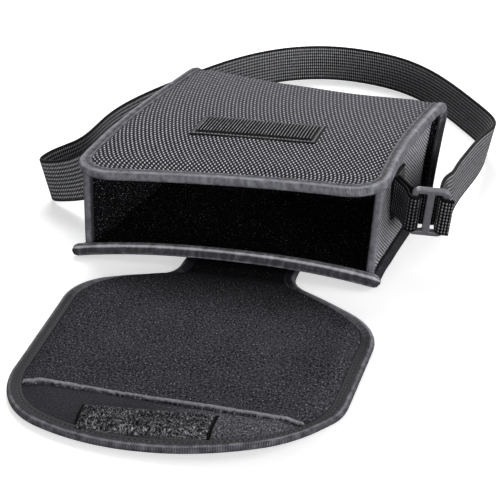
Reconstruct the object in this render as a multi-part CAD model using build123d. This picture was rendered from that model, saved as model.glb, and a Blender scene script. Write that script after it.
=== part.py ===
from build123d import *
import math
import os

# A padded soft case for roof-prism binoculars. It lies on its back panel with the mouth
# towards -Y and the flap laid open in front of it, lining side up. X runs along the mouth,
# Y from the mouth into the case and Z up, in millimetres. The drawing below has Y = 0 at
# the mouth; the finished pieces are moved so that the origin is the middle of the flat
# part of the back panel, on its outer face, which lies on the floor with the flap and the
# strap. Under that face the binding tape is pressed flush into the padding.

# Case body: one wrapped panel (front, end fold, back) between two gussets
case_width = 152.0  # over the cut edges of the wrapped panel
panel_length = 122.0  # front panel, mouth edge to end fold
back_length = panel_length - 20  # back panel, mouth line to end fold
mouth_height = 51.3
end_height = 62.3
crown_distance = 62.0  # where the front panel stops rising steeply
crown_height = 58.3
crown_radius = 250.0
end_radius_top = 9.0
end_radius_bottom = 16.0
mouth_corner_radius = 20.0  # front panel's two rounded mouth corners
lip_reach = 3.0  # the back panel runs past the mouth line as a lip
lip_rise = 4.6  # lift of the lip above the floor, room for the flap's neck
lip_ramp = 30.0  # how far back the panel starts to lift
ramp_radius = 60.0
lip_overrun = 2.6  # lip binding past the side bindings, each end
rest_distance = 62.0  # middle of the flat part of the back panel, from the mouth line

# Sewn layers of the wall
cloth = 0.9
foam = 2.6
lining = 1.0
wall = cloth + foam + lining

# Gussets, set in from the cut edge so that the seam stands out as a fin
seam_fin = 2.2
gusset_setback = 12.0  # the gusset's mouth edge leans back under the front panel
gusset_foam = 2.2
gusset_wall = cloth + gusset_foam + lining

# Folded binding tape
tape = 0.8
tape_band = 5.0  # width of the band that shows on each face

# Hook patch on the front panel
hook_length = 66.0
hook_width = 21.0
hook_thick = 1.6
hook_distance = 56.0  # mouth edge to the middle of the patch

# Flap: a thin neck sewn under the lip, then a padded panel that folds in two
neck_width = 57.0
neck_thick = 2.2
neck_length = 15.0  # from the first fold line to the padding
hinge_distance = 8.0  # first fold line, in front of the mouth line
neck_seam = 22.0  # how far the sewn root runs back under the case
flap_offset = 5.0  # flap centre line, to the right of the case centre
flap_skew = 3.4  # degrees that the open flap lies turned to the case
flap_length = 156.0  # first fold line to the tip
flap_width = 152.0
flap_taper = 6.7  # each side, narrower at the tip than at the shoulders
shoulder_distance = 37.5
neck_corner_distance = 6.0
neck_corner_radius = 13.0
shoulder_radius = 28.0
tip_corner_radius = 42.0
tip_radius = 115.0
fold_distance = 54.0  # second fold line, from the first
flap_foam = 1.8
flap_wall = cloth + flap_foam + lining
panel_pad = 1.5  # raised fleece panel on the base lining
panel_margin = 0.3  # between the fleece panel and the edge binding
panel_end = flap_length - 32.5  # the fleece panel's free edge, from the first fold line
binding_start = 4.0  # the flap binding starts this far past the first fold line

# Loop patch on the base lining, past the fleece panel
loop_length = 57.0
loop_width = 16.5
loop_thick = 1.8
loop_distance = flap_length - 17.4

# Shoulder strap and its ladder buckle
webbing_width = 25.0
webbing_thick = 1.6
anchor_distance = 33.0  # strap axis behind the mouth line
anchor_height = 31.8
anchor_length = 38.0  # sewn length on each gusset
anchor_front = 8.0  # of which in front of the strap axis
buckle_height = 32.0
buckle_length = 18.8
buckle_thick = 3.2
bar_pitch = 7.8  # middle bar to each outer bar
bar_width = 3.2
mid_bar_width = 3.8
slot_length = 26.4
buckle_corner = 4.0
slot_corner = 1.0
buckle_out = 17.5  # buckle centre, outside the cut edge of the wrapped panel
buckle_ahead = 2.0  # buckle centre, in front of the strap axis
buckle_lean = (0.125, -0.35, 0.928)  # the bars' direction: the top leans out and forward
buckle_run = (0.987, 0.163, 0.0)  # the buckle's long direction, before it is squared
tail_length = 3.5
turn_radius = 2.2  # inner radius of the webbing where it turns round a bar

gap = 0.3  # running clearance between pieces that move past each other
far = 300.0  # larger than the case, for cutting
split_height = 28.0  # between the back panel and the front panel, for cutting
strap_steps = 72

half = case_width / 2
gusset_face = half - seam_fin
floor = 0.0
flap_bottom = tape
flap_top = flap_bottom + flap_wall
binding_top = flap_top + tape
panel_top = flap_top + panel_pad
hinge_height = neck_thick / 2


def closed_face(points, radii):
    """Flat face inside a closed outline of straight runs and tangent arcs."""
    return make_face(FilletPolyline(*points, radius=radii, close=True))


def side_profile(inset):
    """Side view of the case, (y, z), its mouth end run on past the mouth, inset all round."""
    rise = (crown_height - mouth_height) / crown_distance
    lift = lip_rise / (lip_ramp + lip_reach)
    points = [
        (-far, mouth_height - far * rise),
        (crown_distance, crown_height),
        (panel_length, end_height),
        (back_length, 0),
        (lip_ramp, 0),
        (-far, (lip_ramp + far) * lift),
    ]
    reach = far / 3
    points[0] = (-reach, mouth_height - reach * rise)
    points[-1] = (-reach, (lip_ramp + reach) * lift)
    face = closed_face(points, [0, crown_radius, end_radius_top, end_radius_bottom, ramp_radius, 0])
    return face if inset == 0 else offset(face, -inset, kind=Kind.INTERSECTION)


def slab(outer, inner, width=case_width):
    """Layer of the wrapped panel between two insets, as wide as the case."""
    face = side_profile(outer) - side_profile(inner)
    return extrude(Plane.YZ * face, width / 2, both=True)


def block(x0, x1, y0, y1, z0, z1):
    """Plain box between two corners."""
    return Pos((x0 + x1) / 2, (y0 + y1) / 2, (z0 + z1) / 2) * Box(x1 - x0, y1 - y0, z1 - z0)


def plan_cut(grow):
    """Everything inside the plan outline grown by a margin, rounded at the front mouth corners."""
    w = half + grow
    r = mouth_corner_radius + grow
    points = [(-w, -grow), (w, -grow), (w, far), (-w, far)]
    top = Pos(0, 0, split_height) * extrude(closed_face(points, [r, r, 0, 0]), far)
    bottom = block(-w, w, -lip_reach - grow, far, -far, split_height)
    return top + bottom


outline_cut = plan_cut(0)
tape_cut = plan_cut(tape)
band_cut = plan_cut(-tape_band)


def wrapped_layer(outer, inner):
    return slab(outer, inner) & outline_cut


def foam_pads():
    """The wrapped panel's padding: front, end and back pads, butted in the folds."""
    layer = wrapped_layer(cloth, cloth + foam)
    front_zone = block(-far, far, -far, panel_length - end_radius_top,
                       mouth_height - wall, far)
    back_zone = block(-far, far, -far, back_length - end_radius_bottom, -far, split_height)
    return layer & front_zone, layer - front_zone - back_zone, layer & back_zone


def gusset_mouth(shift):
    """Side view of all that lies behind the gusset's leaning mouth edge, moved by a shift."""
    top = gusset_setback * far / (mouth_height - wall)
    return make_face(Polyline((shift, 0), (shift + top, far), (far * 3, far), (far * 3, -far),
                              (shift - top, -far), close=True))


def gusset_layer(side, outer, thick, inset=wall, front=0.0, back=None):
    """Flat layer of one gusset: its outline fits inside the wrapped panel."""
    face = side_profile(inset) & gusset_mouth(front)
    if back is not None:
        face = face - gusset_mouth(back)
    sheet = extrude(Plane.YZ * face, thick)
    return Pos(outer - thick if side > 0 else -outer, 0, 0) * sheet


def gusset(side):
    """Outer cloth, foam and lining of one gusset."""
    shell = gusset_layer(side, gusset_face, cloth)
    pad = gusset_layer(side, gusset_face - cloth, gusset_foam)
    inner = gusset_layer(side, gusset_face - cloth - gusset_foam, lining)
    return shell, pad, inner


def gusset_binding(side):
    """Tape folded over the gusset's mouth edge."""
    band = gusset_layer(side, gusset_face + tape, gusset_wall + 2 * tape,
                        wall + tape, -tape, tape_band)
    return band - gusset_layer(side, gusset_face, gusset_wall)


def edge_binding():
    """Tape over the wrapped panel's edges: mouth, two sides and lip, as four pieces."""
    ring = slab(-tape, wall + tape, case_width + 4 * tape) & tape_cut
    ring = ring - band_cut - wrapped_layer(0, wall)
    ring = ring & block(-far, far, -far, far, floor, far)
    for side in (-1, 1):
        ring = ring - gusset_layer(side, gusset_face, gusset_wall, 0, -far)
    front = ring & block(-half + tape_band, half - tape_band, -far, tape_band, split_height, far)
    lip = ring & block(-far, far, -far, tape_band - lip_reach, -far, split_height)
    sides = ring - front - lip
    left = sides & block(-far, 0, -far, far, -far, far)
    right = sides & block(0, far, -far, far, -far, far)
    return front, left, right, lip


def lip_end(side):
    """Rounded end of the lip binding, past the side binding."""
    reach = half + tape
    height = lip_rise + wall / 2
    radius = wall / 2 + tape
    bar = Rot(0, 90, 0) * Cylinder(radius, lip_overrun)
    centre = radius - tape - lip_reach
    return Pos(side * (reach + lip_overrun / 2), centre, height) * bar


def hook_patch():
    zone = block(-hook_length / 2, hook_length / 2, hook_distance - hook_width / 2,
                 hook_distance + hook_width / 2, split_height, far)
    return slab(-hook_thick, 0) & zone


# The flap's own plane: x across it, -y towards its tip. The two fold lines are turned by
# half of the skew, so that the closed flap lies square on the case.
flap_plane = Plane(
    origin=(flap_offset, -hinge_distance, floor),
    x_dir=(math.cos(math.radians(flap_skew)), math.sin(math.radians(flap_skew)), 0),
    z_dir=(0, 0, 1),
)
fold_turn = math.radians(flap_skew / 2)
fold_direction = Vector(math.cos(fold_turn), math.sin(fold_turn), 0)
fold_point = flap_plane.from_local_coords(Vector(0, -fold_distance, 0))


def fold_plane(point):
    return Plane(origin=point, x_dir=fold_direction, z_dir=(0, 0, 1))


def flap_face(inset):
    """Plan outline of the flap, symmetrical about its own centre line."""
    w = flap_width / 2
    n = neck_width / 2
    right = [
        (n, hinge_distance),
        (n, -neck_corner_distance),
        (w, -shoulder_distance),
        (w - flap_taper, -flap_length),
    ]
    left = [(-x, y) for x, y in reversed(right)]
    radii = [0, neck_corner_radius, shoulder_radius, 0]
    face = closed_face(right + left, radii + radii[::-1])
    face = face & Pos(0, tip_radius - flap_length) * Circle(tip_radius)
    face = fillet(face.vertices().sort_by(Axis.Y)[:2], tip_corner_radius)
    return face if inset == 0 else offset(face, -inset, kind=Kind.INTERSECTION)


def flap_sheet(inset, z0, z1):
    return flap_plane * Pos(0, 0, z0) * extrude(flap_face(inset), z1 - z0)


def strip(plane, y0, y1):
    """Everything between two lines parallel to a fold, y0 and y1 measured towards the tip."""
    return plane * block(-far, far, -y1, -y0, -far, far)


hinge_frame = fold_plane(flap_plane.origin)
fold_frame = fold_plane(fold_point)
cover_zone = strip(hinge_frame, neck_length, far) & strip(fold_frame, -far, -gap / 2)
tongue_zone = strip(fold_frame, gap / 2, far)
fleece_zone = flap_plane * block(-far, far, -panel_end, far, -far, far)


def flap_layers(zone):
    """Outer cloth, foam, base lining, fleece panel of one half of the flap."""
    levels = [flap_bottom, flap_bottom + cloth, flap_top - lining, flap_top]
    sheets = [flap_sheet(tape, a, b) & zone for a, b in zip(levels, levels[1:])]
    fleece = flap_sheet(tape_band + panel_margin, flap_top, panel_top) & zone & fleece_zone
    return sheets + [fleece]


def flap_binding(zone):
    """Tape folded over the flap's edge."""
    ring = (flap_sheet(0, 0, binding_top) - flap_sheet(tape_band, 0, binding_top)) & zone
    return ring - flap_sheet(tape, flap_bottom, flap_top)


def flap_neck():
    """Thin unpadded neck, rounded along the first fold line."""
    sheet = flap_sheet(tape_band + panel_margin, 0, neck_thick)
    sheet = sheet & strip(hinge_frame, 0, neck_length)
    length = neck_width - 2 * (tape_band + panel_margin)
    bead = hinge_frame * Pos(0, 0, hinge_height) * Rot(0, 90, 0) * Cylinder(hinge_height, length)
    return sheet + bead


def neck_edges():
    """Bound edges of the neck, from just past the fold line to the padding."""
    zone = strip(hinge_frame, binding_start, neck_length)
    return (flap_sheet(0, 0, binding_top) - flap_sheet(tape_band, 0, binding_top)) & zone


def flap_root():
    """Sewn end of the neck, under the lip, thinned along its seam."""
    lift = lip_rise / (lip_ramp + lip_reach)
    top = floor + neck_thick
    meet = lip_ramp - top / lift
    start = -2 * hinge_distance
    thin = (lip_ramp - neck_seam) * lift
    face = make_face(Polyline((start, floor), (start, top), (meet, top),
                              (neck_seam, thin), (neck_seam, floor), close=True))
    sheet = Pos(flap_offset, 0, 0) * extrude(Plane.YZ * face, neck_width / 2, both=True)
    return sheet & (hinge_frame * block(-far, far, hinge_height + gap, far, -far, far))


def loop_patch():
    patch = Pos(0, -loop_distance, flap_top) * extrude(Rectangle(loop_length, loop_width), loop_thick)
    return flap_plane * patch


# The buckle's plane: x along the buckle, y along its bars, z out of its front
bars = Vector(*buckle_lean).normalized()
run = Vector(*buckle_run)
run = (run - bars * run.dot(bars)).normalized()
buckle_centre = Vector(half + buckle_out, anchor_distance - buckle_ahead, anchor_height)
buckle_plane = Plane(origin=buckle_centre, x_dir=run, z_dir=run.cross(bars))


def tri_glide():
    """Ladder buckle: two slots between three bars, edges eased."""
    frame = RectangleRounded(buckle_length, buckle_height, buckle_corner)
    slot_from = mid_bar_width / 2
    slot_to = bar_pitch - bar_width / 2
    slot = RectangleRounded(slot_to - slot_from, slot_length, slot_corner)
    middle = (slot_from + slot_to) / 2
    frame = frame - Pos(middle, 0) * slot - Pos(-middle, 0) * slot
    body = extrude(frame, buckle_thick / 2, both=True)
    body = fillet(body.faces().filter_by(Axis.Z).edges(), 0.7)
    return buckle_plane * body


def webbing_slab(face):
    """Flat face in the buckle's cross-section, carried along the bars by the webbing width."""
    across = Plane(origin=buckle_centre, x_dir=run, z_dir=bars)
    return across * extrude(face, webbing_width / 2, both=True)


def bar_circle(bar, radius):
    """Circle round one of the buckle's bars, in its cross-section."""
    return Pos(bar, 0) * Circle(radius)


def strap_tab():
    """Short webbing loop from the gusset round the buckle's inner bar."""
    bar = -bar_pitch
    pinch = bar - 3 * turn_radius
    inner = make_hull(bar_circle(bar, turn_radius).edges() + bar_circle(pinch, gap / 2).edges())
    outer = make_hull(bar_circle(bar, turn_radius + webbing_thick).edges()
                      + bar_circle(pinch, gap / 2 + webbing_thick).edges())
    middle = pinch - buckle_out / 2
    legs = Pos(middle, 0) * Rectangle(buckle_out, 2 * webbing_thick + gap)
    split = Pos(middle, 0) * Rectangle(buckle_out, gap)
    tab = webbing_slab(make_face(outer) + legs - make_face(inner) - split)
    clear = gusset_face + webbing_thick + gap
    return tab & block(clear, far, -far, far, -far, far)


def strap_turn():
    """End of the strap: through the outer slot, round the outer bar and on as a short tail."""
    ring = bar_circle(bar_pitch, turn_radius + webbing_thick) - bar_circle(bar_pitch, turn_radius)
    corner = Pos(bar_pitch - far / 2, -far / 2) * Rectangle(far, far)
    middle = turn_radius + webbing_thick / 2
    tail = Pos(bar_pitch + tail_length / 2, -middle) * Rectangle(tail_length, webbing_thick)
    back = Pos(bar_pitch - middle, buckle_thick / 2) * Rectangle(webbing_thick, buckle_thick)
    return webbing_slab((ring & corner) + tail + back)


# Route of the strap's centre line, from the left gusset round behind the case to the
# buckle, as it lies: (x, y, height above the floor) and how far the upper edge leans in X
# and in Y per unit of height
strap_route = [
    ((-97, 40.5, 24), (-0.1, 0)),
    ((-115, 48.5, 15.6), (-0.3, 0)),
    ((-125, 55, 12.7), (-0.36, 0.1)),
    ((-125, 68, 12.7), (-0.25, 0.1)),
    ((-122, 86, 12.7), (-0.1, 0)),
    ((-121.5, 105, 12.7), (0, 0)),
    ((-122.5, 128, 12.7), (0, 0)),
    ((-121, 152, 12.7), (0, 0)),
    ((-115.5, 178, 12.7), (0, 0)),
    ((-106, 208, 12.7), (0, 0)),
    ((-94, 242, 12.7), (0, 0)),
    ((-75, 279, 12.7), (0, 0)),
    ((-50, 305, 12.7), (0, 0)),
    ((-24, 315, 12.7), (0, 0)),
    ((0, 313.5, 12.7), (0, 0)),
    ((24.5, 304.5, 12.7), (0, 0)),
    ((46, 288, 12.7), (0, 0)),
    ((68, 261, 12.7), (0, 0)),
    ((88, 230, 12.7), (0, 0)),
    ((101.5, 205, 12.9), (0.05, 0)),
    ((106, 184, 14), (0.2, 0)),
    ((105, 165, 15.6), (0.1, 0)),
    ((103, 144, 17.8), (0, 0)),
    ((101, 112, 22), (0, 0.05)),
    ((100, 80, 26.5), (0, 0.15)),
    ((99.5, 60, 30), (0.02, 0.15)),
]


def strap_webbing():
    """The long strap: flat webbing on edge, ruled between closely spaced cross-sections."""
    slot_middle = bar_pitch - turn_radius - webbing_thick / 2
    turn_end = buckle_plane.from_local_coords(Vector(slot_middle, 0, 0.1 - buckle_thick))
    lean_end = (bars.X / bars.Z, bars.Y / bars.Z)
    start = Vector(-gusset_face - webbing_thick - gap, anchor_distance, anchor_height)
    route = [((p[0], p[1], p[2] + floor), lean) for p, lean in strap_route]
    route = [(tuple(start), (0, 0))] + route + [(tuple(turn_end), lean_end)]
    middle = [Vector(*p) for p, lean in route]
    upper = [Vector(*p) + Vector(lean[0], lean[1], 1).normalized() * (webbing_width / 2)
             for p, lean in route]
    leave = [(-1, 0.1, 0), tuple(buckle_plane.z_dir)]
    centre_line = Spline(*middle, tangents=leave)
    upper_line = Spline(*upper, tangents=leave)
    sections = []
    for i in range(strap_steps + 1):
        at = centre_line @ (i / strap_steps)
        along = (centre_line % (i / strap_steps)).normalized()
        up = upper_line @ (i / strap_steps) - at
        up = (up - along * up.dot(along)).normalized()
        plane = Plane(origin=at, x_dir=up.cross(along), z_dir=along)
        sections.append(plane * Rectangle(webbing_thick, webbing_width))
    print("strap centre line", round(centre_line.length, 1), "mm from gusset to buckle")
    return loft(sections, ruled=True) + strap_turn()


def sewn_end(side):
    """Webbing sewn flat on a gusset, from the strap axis towards the end fold."""
    face = side * gusset_face
    outer = side * (gusset_face + webbing_thick)
    start = anchor_distance - anchor_front
    return block(min(face, outer), max(face, outer), start, start + anchor_length,
                 anchor_height - webbing_width / 2, anchor_height + webbing_width / 2)


def save(name, shape):
    """Move a piece to the rest origin and write it."""
    moved = Pos(0, -rest_distance, 0) * shape
    solids = moved.solids()
    piece = solids[0] if len(solids) == 1 else Compound(children=list(solids))
    export_step(piece, f"parts/{name}.step")


def build():
    os.makedirs("parts", exist_ok=True)
    save("body_shell", wrapped_layer(0, cloth))
    front_pad, end_pad, back_pad = foam_pads()
    save("front_foam", front_pad)
    save("end_foam", end_pad)
    save("back_foam", back_pad)
    save("body_lining", wrapped_layer(cloth + foam, wall))
    for side, word in ((-1, "left"), (1, "right")):
        shell, pad, inner = gusset(side)
        save(f"gusset_shell_{word}", shell)
        save(f"gusset_foam_{word}", pad)
        save(f"gusset_lining_{word}", inner)
        save(f"gusset_binding_{word}", gusset_binding(side))
    front, left, right, lip = edge_binding()
    save("mouth_binding", front)
    save("seam_binding_left", left)
    save("seam_binding_right", right)
    save("lip_binding", lip + lip_end(-1) + lip_end(1))
    save("hook_patch", hook_patch())

    save("flap_root", flap_root())
    save("flap_neck", flap_neck())
    for half_name, zone in (("cover", cover_zone), ("tongue", tongue_zone)):
        shell, pad, base, fleece = flap_layers(zone)
        save(f"flap_{half_name}_shell", shell)
        save(f"flap_{half_name}_foam", pad)
        save(f"flap_{half_name}_lining", base)
        save(f"flap_{half_name}_fleece", fleece)
    cover_binding = flap_binding(cover_zone) + neck_edges()
    save("flap_cover_binding_left", cover_binding & block(-far, flap_offset, -far, far, -far, far))
    save("flap_cover_binding_right", cover_binding & block(flap_offset, far, -far, far, -far, far))
    save("flap_tongue_binding", flap_binding(tongue_zone))
    save("loop_patch", loop_patch())

    save("tri_glide", tri_glide())
    save("strap_tab", strap_tab())
    save("strap_webbing", strap_webbing())
    save("strap_end_left", sewn_end(-1))
    save("strap_tab_root", sewn_end(1))


build()
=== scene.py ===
# %% [markdown]
# # A padded binocular case
# The imported CAD model is the fixed frame. Every piece below is worked out again as soft
# goods: padded cloth panels, folded tape, webbing and fleece, each in the place of the
# solid that it stands for. The case's and the strap's pieces and the loop patch ride on a
# moving body. It could be sculpted by hand, but formulas keep every seam shut and give the
# same mesh on each run.

# %% Load the frame
import math
import bpy
import numpy as np
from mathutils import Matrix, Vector


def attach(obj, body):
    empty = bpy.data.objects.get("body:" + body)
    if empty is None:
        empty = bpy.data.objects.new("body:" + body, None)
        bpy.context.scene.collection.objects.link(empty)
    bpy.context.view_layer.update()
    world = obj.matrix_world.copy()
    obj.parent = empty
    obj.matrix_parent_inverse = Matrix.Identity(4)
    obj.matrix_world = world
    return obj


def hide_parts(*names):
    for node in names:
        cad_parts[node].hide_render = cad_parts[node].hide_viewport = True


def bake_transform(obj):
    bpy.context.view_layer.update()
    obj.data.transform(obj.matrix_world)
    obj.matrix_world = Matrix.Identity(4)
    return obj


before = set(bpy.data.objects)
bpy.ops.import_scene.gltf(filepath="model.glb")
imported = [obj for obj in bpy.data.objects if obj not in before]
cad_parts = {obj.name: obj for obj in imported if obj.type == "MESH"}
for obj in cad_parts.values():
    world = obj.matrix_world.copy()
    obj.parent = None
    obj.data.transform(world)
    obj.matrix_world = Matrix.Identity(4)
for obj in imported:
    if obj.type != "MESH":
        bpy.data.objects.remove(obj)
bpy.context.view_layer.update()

# %% [markdown]
# ## Sizes
# The drawing below is in millimetres, as a case maker would mark the cloth: x runs along
# the mouth, y from the mouth line into the case, z up from the back panel's outer face.
# One function turns it into the row frame's metres, whose origin is under the middle of
# the back panel.

# %% Sizes and the row frame
mm = 0.001
half = 76.0  # half the width over the cut edges
wall = 4.5  # cloth, foam and lining
band = 5.0  # binding tape that shows on each face
gusset_x = 73.8  # the side panels' outer faces
mouth_radius = 20.0
rest_distance = 62.0
mouth_height, crown_height, end_height, lip_rise = 51.3, 58.3, 62.3, 4.6


def to_row(points):
    """Drawing millimetres to the row frame's metres: y less the rest distance, over 1000."""
    return (np.asarray(points, float) - (0, rest_distance, 0)) * mm


def unit(vectors):
    """Each vector divided by its length."""
    return vectors / np.linalg.norm(vectors, axis=-1, keepdims=True)


def smooth(x, low, high):
    """Runs from 0 at low to 1 at high as 3t^2 - 2t^3."""
    t = np.clip((x - low) / (high - low), 0, 1)
    return t * t * (3 - 2 * t)


print("case:", 2 * half, "mm wide,", end_height, "mm high at its closed end")

# %% [markdown]
# ## Lines
# Every outline of a bag is straight runs joined by rounded corners. A helper rounds the
# corners, and others read points and normals at given distances along the line.

# %% Rounded lines
def rounded(corners, radii, step=0.8):
    """Corner points to a line with tangent arcs, each radius x tan(half its turn) long."""
    corners = [np.array(c, float) for c in corners]
    line = [corners[0]]
    for before, corner, after, radius in zip(corners, corners[1:], corners[2:], radii):
        back, ahead = unit(before - corner), unit(after - corner)
        turn = math.pi - math.acos(back @ ahead)
        cut = radius * math.tan(turn / 2)
        centre = corner + unit(back + ahead) * radius / math.cos(turn / 2)
        t = np.linspace(0, 1, max(3, int(radius * turn / step) + 2))[:, None]
        first, last = corner + back * cut - centre, corner + ahead * cut - centre
        line.extend(centre + (np.sin((1 - t) * turn) * first + np.sin(t * turn) * last) / math.sin(turn))
    return np.array(line + [corners[-1]])


# %% Places along a line
def distances(line):
    """Distance of each point from the line's start, along it."""
    return np.r_[0, np.linalg.norm(np.diff(line, axis=0), axis=1).cumsum()]


def read(values, run, where):
    """Values known at distances run, read at other distances column by column."""
    return np.stack([np.interp(where, run, column) for column in values.T], axis=-1)


def at(line, where):
    """Points of the line at these distances along it."""
    return read(line, distances(line), where)


def evenly(line, count):
    """The same line as a number of evenly spaced points."""
    return at(line, np.linspace(0, distances(line)[-1], count))


def left_normals(line):
    """The direction of travel turned a quarter to the left, (-dy, dx) over its length."""
    d = np.gradient(line, axis=0)
    return unit(np.stack([-d[:, 1], d[:, 0]], axis=-1))


# %% [markdown]
# ## Meshes
# A padded panel is two grids, its outer and inner face, closed round the rim. Tape and
# webbing are a closed ring carried along stations. Both get a UV map in metres of cloth,
# so that a weave keeps its real thread spacing wherever the cloth bends. A Solidify
# modifier could thicken a plain grid, but not to a wall that varies from place to place.

# %% A closed mesh in the scene
def place(name, points, faces, corner_uv, sharp=50):
    """Puts a closed mesh in the scene, outward side out: its signed volume has to be above 0."""
    points = to_row(points)
    quads = np.concatenate([f for f in faces if f.shape[1] == 4])
    a, b, c, d = (points[quads[:, k]] for k in range(4))
    volume = (np.cross(b, c) * a).sum() + (np.cross(c, d) * a).sum()
    if volume < 0:
        faces = [f[:, ::-1] for f in faces]
        corner_uv = [u[:, ::-1] for u in corner_uv]
    mesh = bpy.data.meshes.new(name)
    mesh.from_pydata(points.tolist(), [], [row for f in faces for row in f.tolist()])
    uv = mesh.uv_layers.new(name="cloth")
    uv.data.foreach_set("uv", np.concatenate([u.reshape(-1, 2) for u in corner_uv]).ravel() * mm)
    mesh.polygons.foreach_set("use_smooth", np.ones(len(mesh.polygons), bool))
    mesh.set_sharp_from_angle(angle=math.radians(sharp))
    made = bpy.data.objects.new(name, mesh)
    bpy.context.scene.collection.objects.link(made)
    return made


# %% Closed meshes from grids
def corners_of(grid):
    """The four corners of each cell of a grid, in order round the cell."""
    return np.stack([grid[:-1, :-1], grid[1:, :-1], grid[1:, 1:], grid[:-1, 1:]], axis=2)


def padded_sheet(name, outer, inner, uv, sharp=50):
    """Closed sheet: outer grid, inner grid and a strip round the rim that joins them."""
    rows, columns = outer.shape[:2]
    count = rows * columns
    index = np.arange(count).reshape(rows, columns)
    rim = np.r_[index[0, :-1], index[:-1, -1], index[-1, :0:-1], index[:0:-1, 0]]
    after = np.roll(rim, -1)
    strip = np.stack([after, rim, rim + count, after + count], axis=1)
    cells = corners_of(index).reshape(-1, 4)
    flat = uv.reshape(-1, 2)
    faces = [cells, (cells + count)[:, ::-1], strip]
    uvs = [flat[cells], flat[cells][:, ::-1], flat[strip % count]]
    points = np.concatenate([outer.reshape(-1, 3), inner.reshape(-1, 3)])
    return place(name, points, faces, uvs, sharp)


def swept(name, rings, across):
    """Closed ring of points carried along stations: (stations, points, 3), ends capped flat."""
    stations, count = rings.shape[:2]
    index = np.arange(stations * count).reshape(stations, count)
    index = np.concatenate([index, index[:, :1]], axis=1)
    down = distances(rings.mean(1))
    uv = np.stack(np.broadcast_arrays(across[None, :], down[:, None]), axis=-1)
    faces, uvs = [corners_of(index).reshape(-1, 4)], [corners_of(uv).reshape(-1, 4, 2)]
    for row, turn in ((0, 1), (stations - 1, -1)):
        faces.append(index[row, :-1][::turn][None])
        uvs.append(uv[row, :-1][::turn][None])
    return place(name, rings.reshape(-1, 3), faces, uvs)


# %% [markdown]
# ## The case's slump
# An empty padded bag never stands as it was cut. This one has racked: its closed end has
# shifted to the right, the near left corner has dropped, and the lip bows up between its
# ends. One smooth move does that to every piece of the case, so that all seams stay shut.
# It works as a Lattice modifier would: 3 x 3 x 2 handles, quadratic along the case and
# across it, straight with height. As a function it also finds where the stitches run.

# %% The slump of the bag
slump_handles = np.array([
    # left: near, halfway, far; each at floor level and at the front panel
    [[(-2.4, -6.6, -0.3), (-9.6, -4.6, -6.4)],
     [(-1.5, -2.5, 0.0), (-1.8, -4.0, -3.2)],
     [(5.0, 0.5, 0.0), (20.0, 5.0, 6.0)]],
    # middle
    [[(-3.0, 1.0, 0.2), (0.5, 1.5, -1.6)],
     [(-1.0, 0.3, 0.0), (-2.1, -0.8, -2.4)],
     [(3.0, 0.9, 0.0), (10.4, 1.7, 1.0)]],
    # right
    [[(-2.8, 1.2, -0.2), (0.1, 0.2, 1.0)],
     [(1.2, 4.0, 0.2), (0.5, -2.1, -1.1)],
     [(8.5, 5.0, 0.0), (11.6, -1.6, 0.3)]],
])
handle_spacing = 60.0  # millimetres between handles, along the case and up
lip_crown, lip_droop = 1.2, 3.4  # the bow of the lip, up at its middle and down at its ends


def slump(points):
    """Adds the handles' moves, weighed by two quadratics and a straight line, and bows the lip."""
    p = np.asarray(points, float)
    x, y = p[..., 0] / half, np.clip(p[..., 1], -15, 130) / handle_spacing - 1
    z = np.clip(p[..., 2] / handle_spacing, 0, 1.1)
    across = np.stack([x * (x - 1) / 2, 1 - x * x, x * (x + 1) / 2])
    inward = np.stack([y * (y - 1) / 2, 1 - y * y, y * (y + 1) / 2])
    upward = np.stack([1 - z, z])
    move = np.einsum("i...,j...,k...,ijkc->...c", across, inward, upward, slump_handles)
    near_lip = smooth(p[..., 1], 24, 0) * smooth(p[..., 2], 18, 9)
    move[..., 2] += near_lip * (lip_crown - lip_droop * np.abs(x) ** 2.6)
    moved = p + move
    moved[..., 2] = np.maximum(moved[..., 2], 0.02)  # nothing sinks into the floor
    return moved


print("slump:", slump_handles[..., 0].size, "handles, moved up to", np.abs(slump_handles).max(), "mm")

# %% [markdown]
# ## Materials
# All the cloths are black synthetics, dyed in the yarn and bleached to greys by the light
# on their threads. Each finish is named for its fibre and how it was made, and some copies
# are darker or paler for where they lie, with light and shade painted in. An image could
# give the weave, but waves and noise on the cloth's own map stay sharp at any distance.
# Where real threads are too fine to show at this size, the pattern is drawn coarser, and
# the finish says so.

# %% Colours and nodes
def colour(code):
    """sRGB hex such as "3a3a3c" to linear RGBA."""
    c = np.array([int(code[i:i + 2], 16) for i in (0, 2, 4)]) / 255
    return tuple(np.where(c <= 0.04045, c / 12.92, ((c + 0.055) / 1.055) ** 2.4)) + (1.0,)


def node_adder(tree):
    """The function that adds a node to this tree."""

    def node(kind, *values, out=None, **settings):
        """Adds a shader node and gives its first output, or the one that is named.

        Values are numbers or other nodes' outputs, and fill the inputs in the order that
        Blender shows them. Settings are the node's properties, or inputs by name.
        """
        made = tree.nodes.new("ShaderNode" + kind)
        named = {key: settings.pop(key) for key in list(settings) if key in made.inputs}
        for key, value in settings.items():
            setattr(made, key, value)
        shown = [socket for socket in made.inputs if socket.enabled]
        pairs = list(zip(shown, values)) + [(made.inputs[key], value) for key, value in named.items()]
        for socket, value in pairs:
            if isinstance(value, bpy.types.NodeSocket):
                tree.links.new(value, socket)
            else:
                socket.default_value = value
        return made.outputs[out] if out else [socket for socket in made.outputs if socket.enabled][0]

    return node


# %% Starting a finish
def start_finish(name, roughness, gloss=0.5, sheen=0.0):
    """New material, its Principled shader with plain sockets set, and its node adder."""
    material = bpy.data.materials.new(name)
    material.use_nodes = True
    shader = material.node_tree.nodes["Principled BSDF"]
    shader.inputs["Roughness"].default_value = roughness
    shader.inputs["Specular IOR Level"].default_value = gloss
    shader.inputs["Sheen Weight"].default_value = sheen
    return material, shader, node_adder(material.node_tree)


def feed(shader, name, source):
    """Links a node's output to one of the shader's sockets."""
    shader.id_data.links.new(source, shader.inputs[name])


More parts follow.
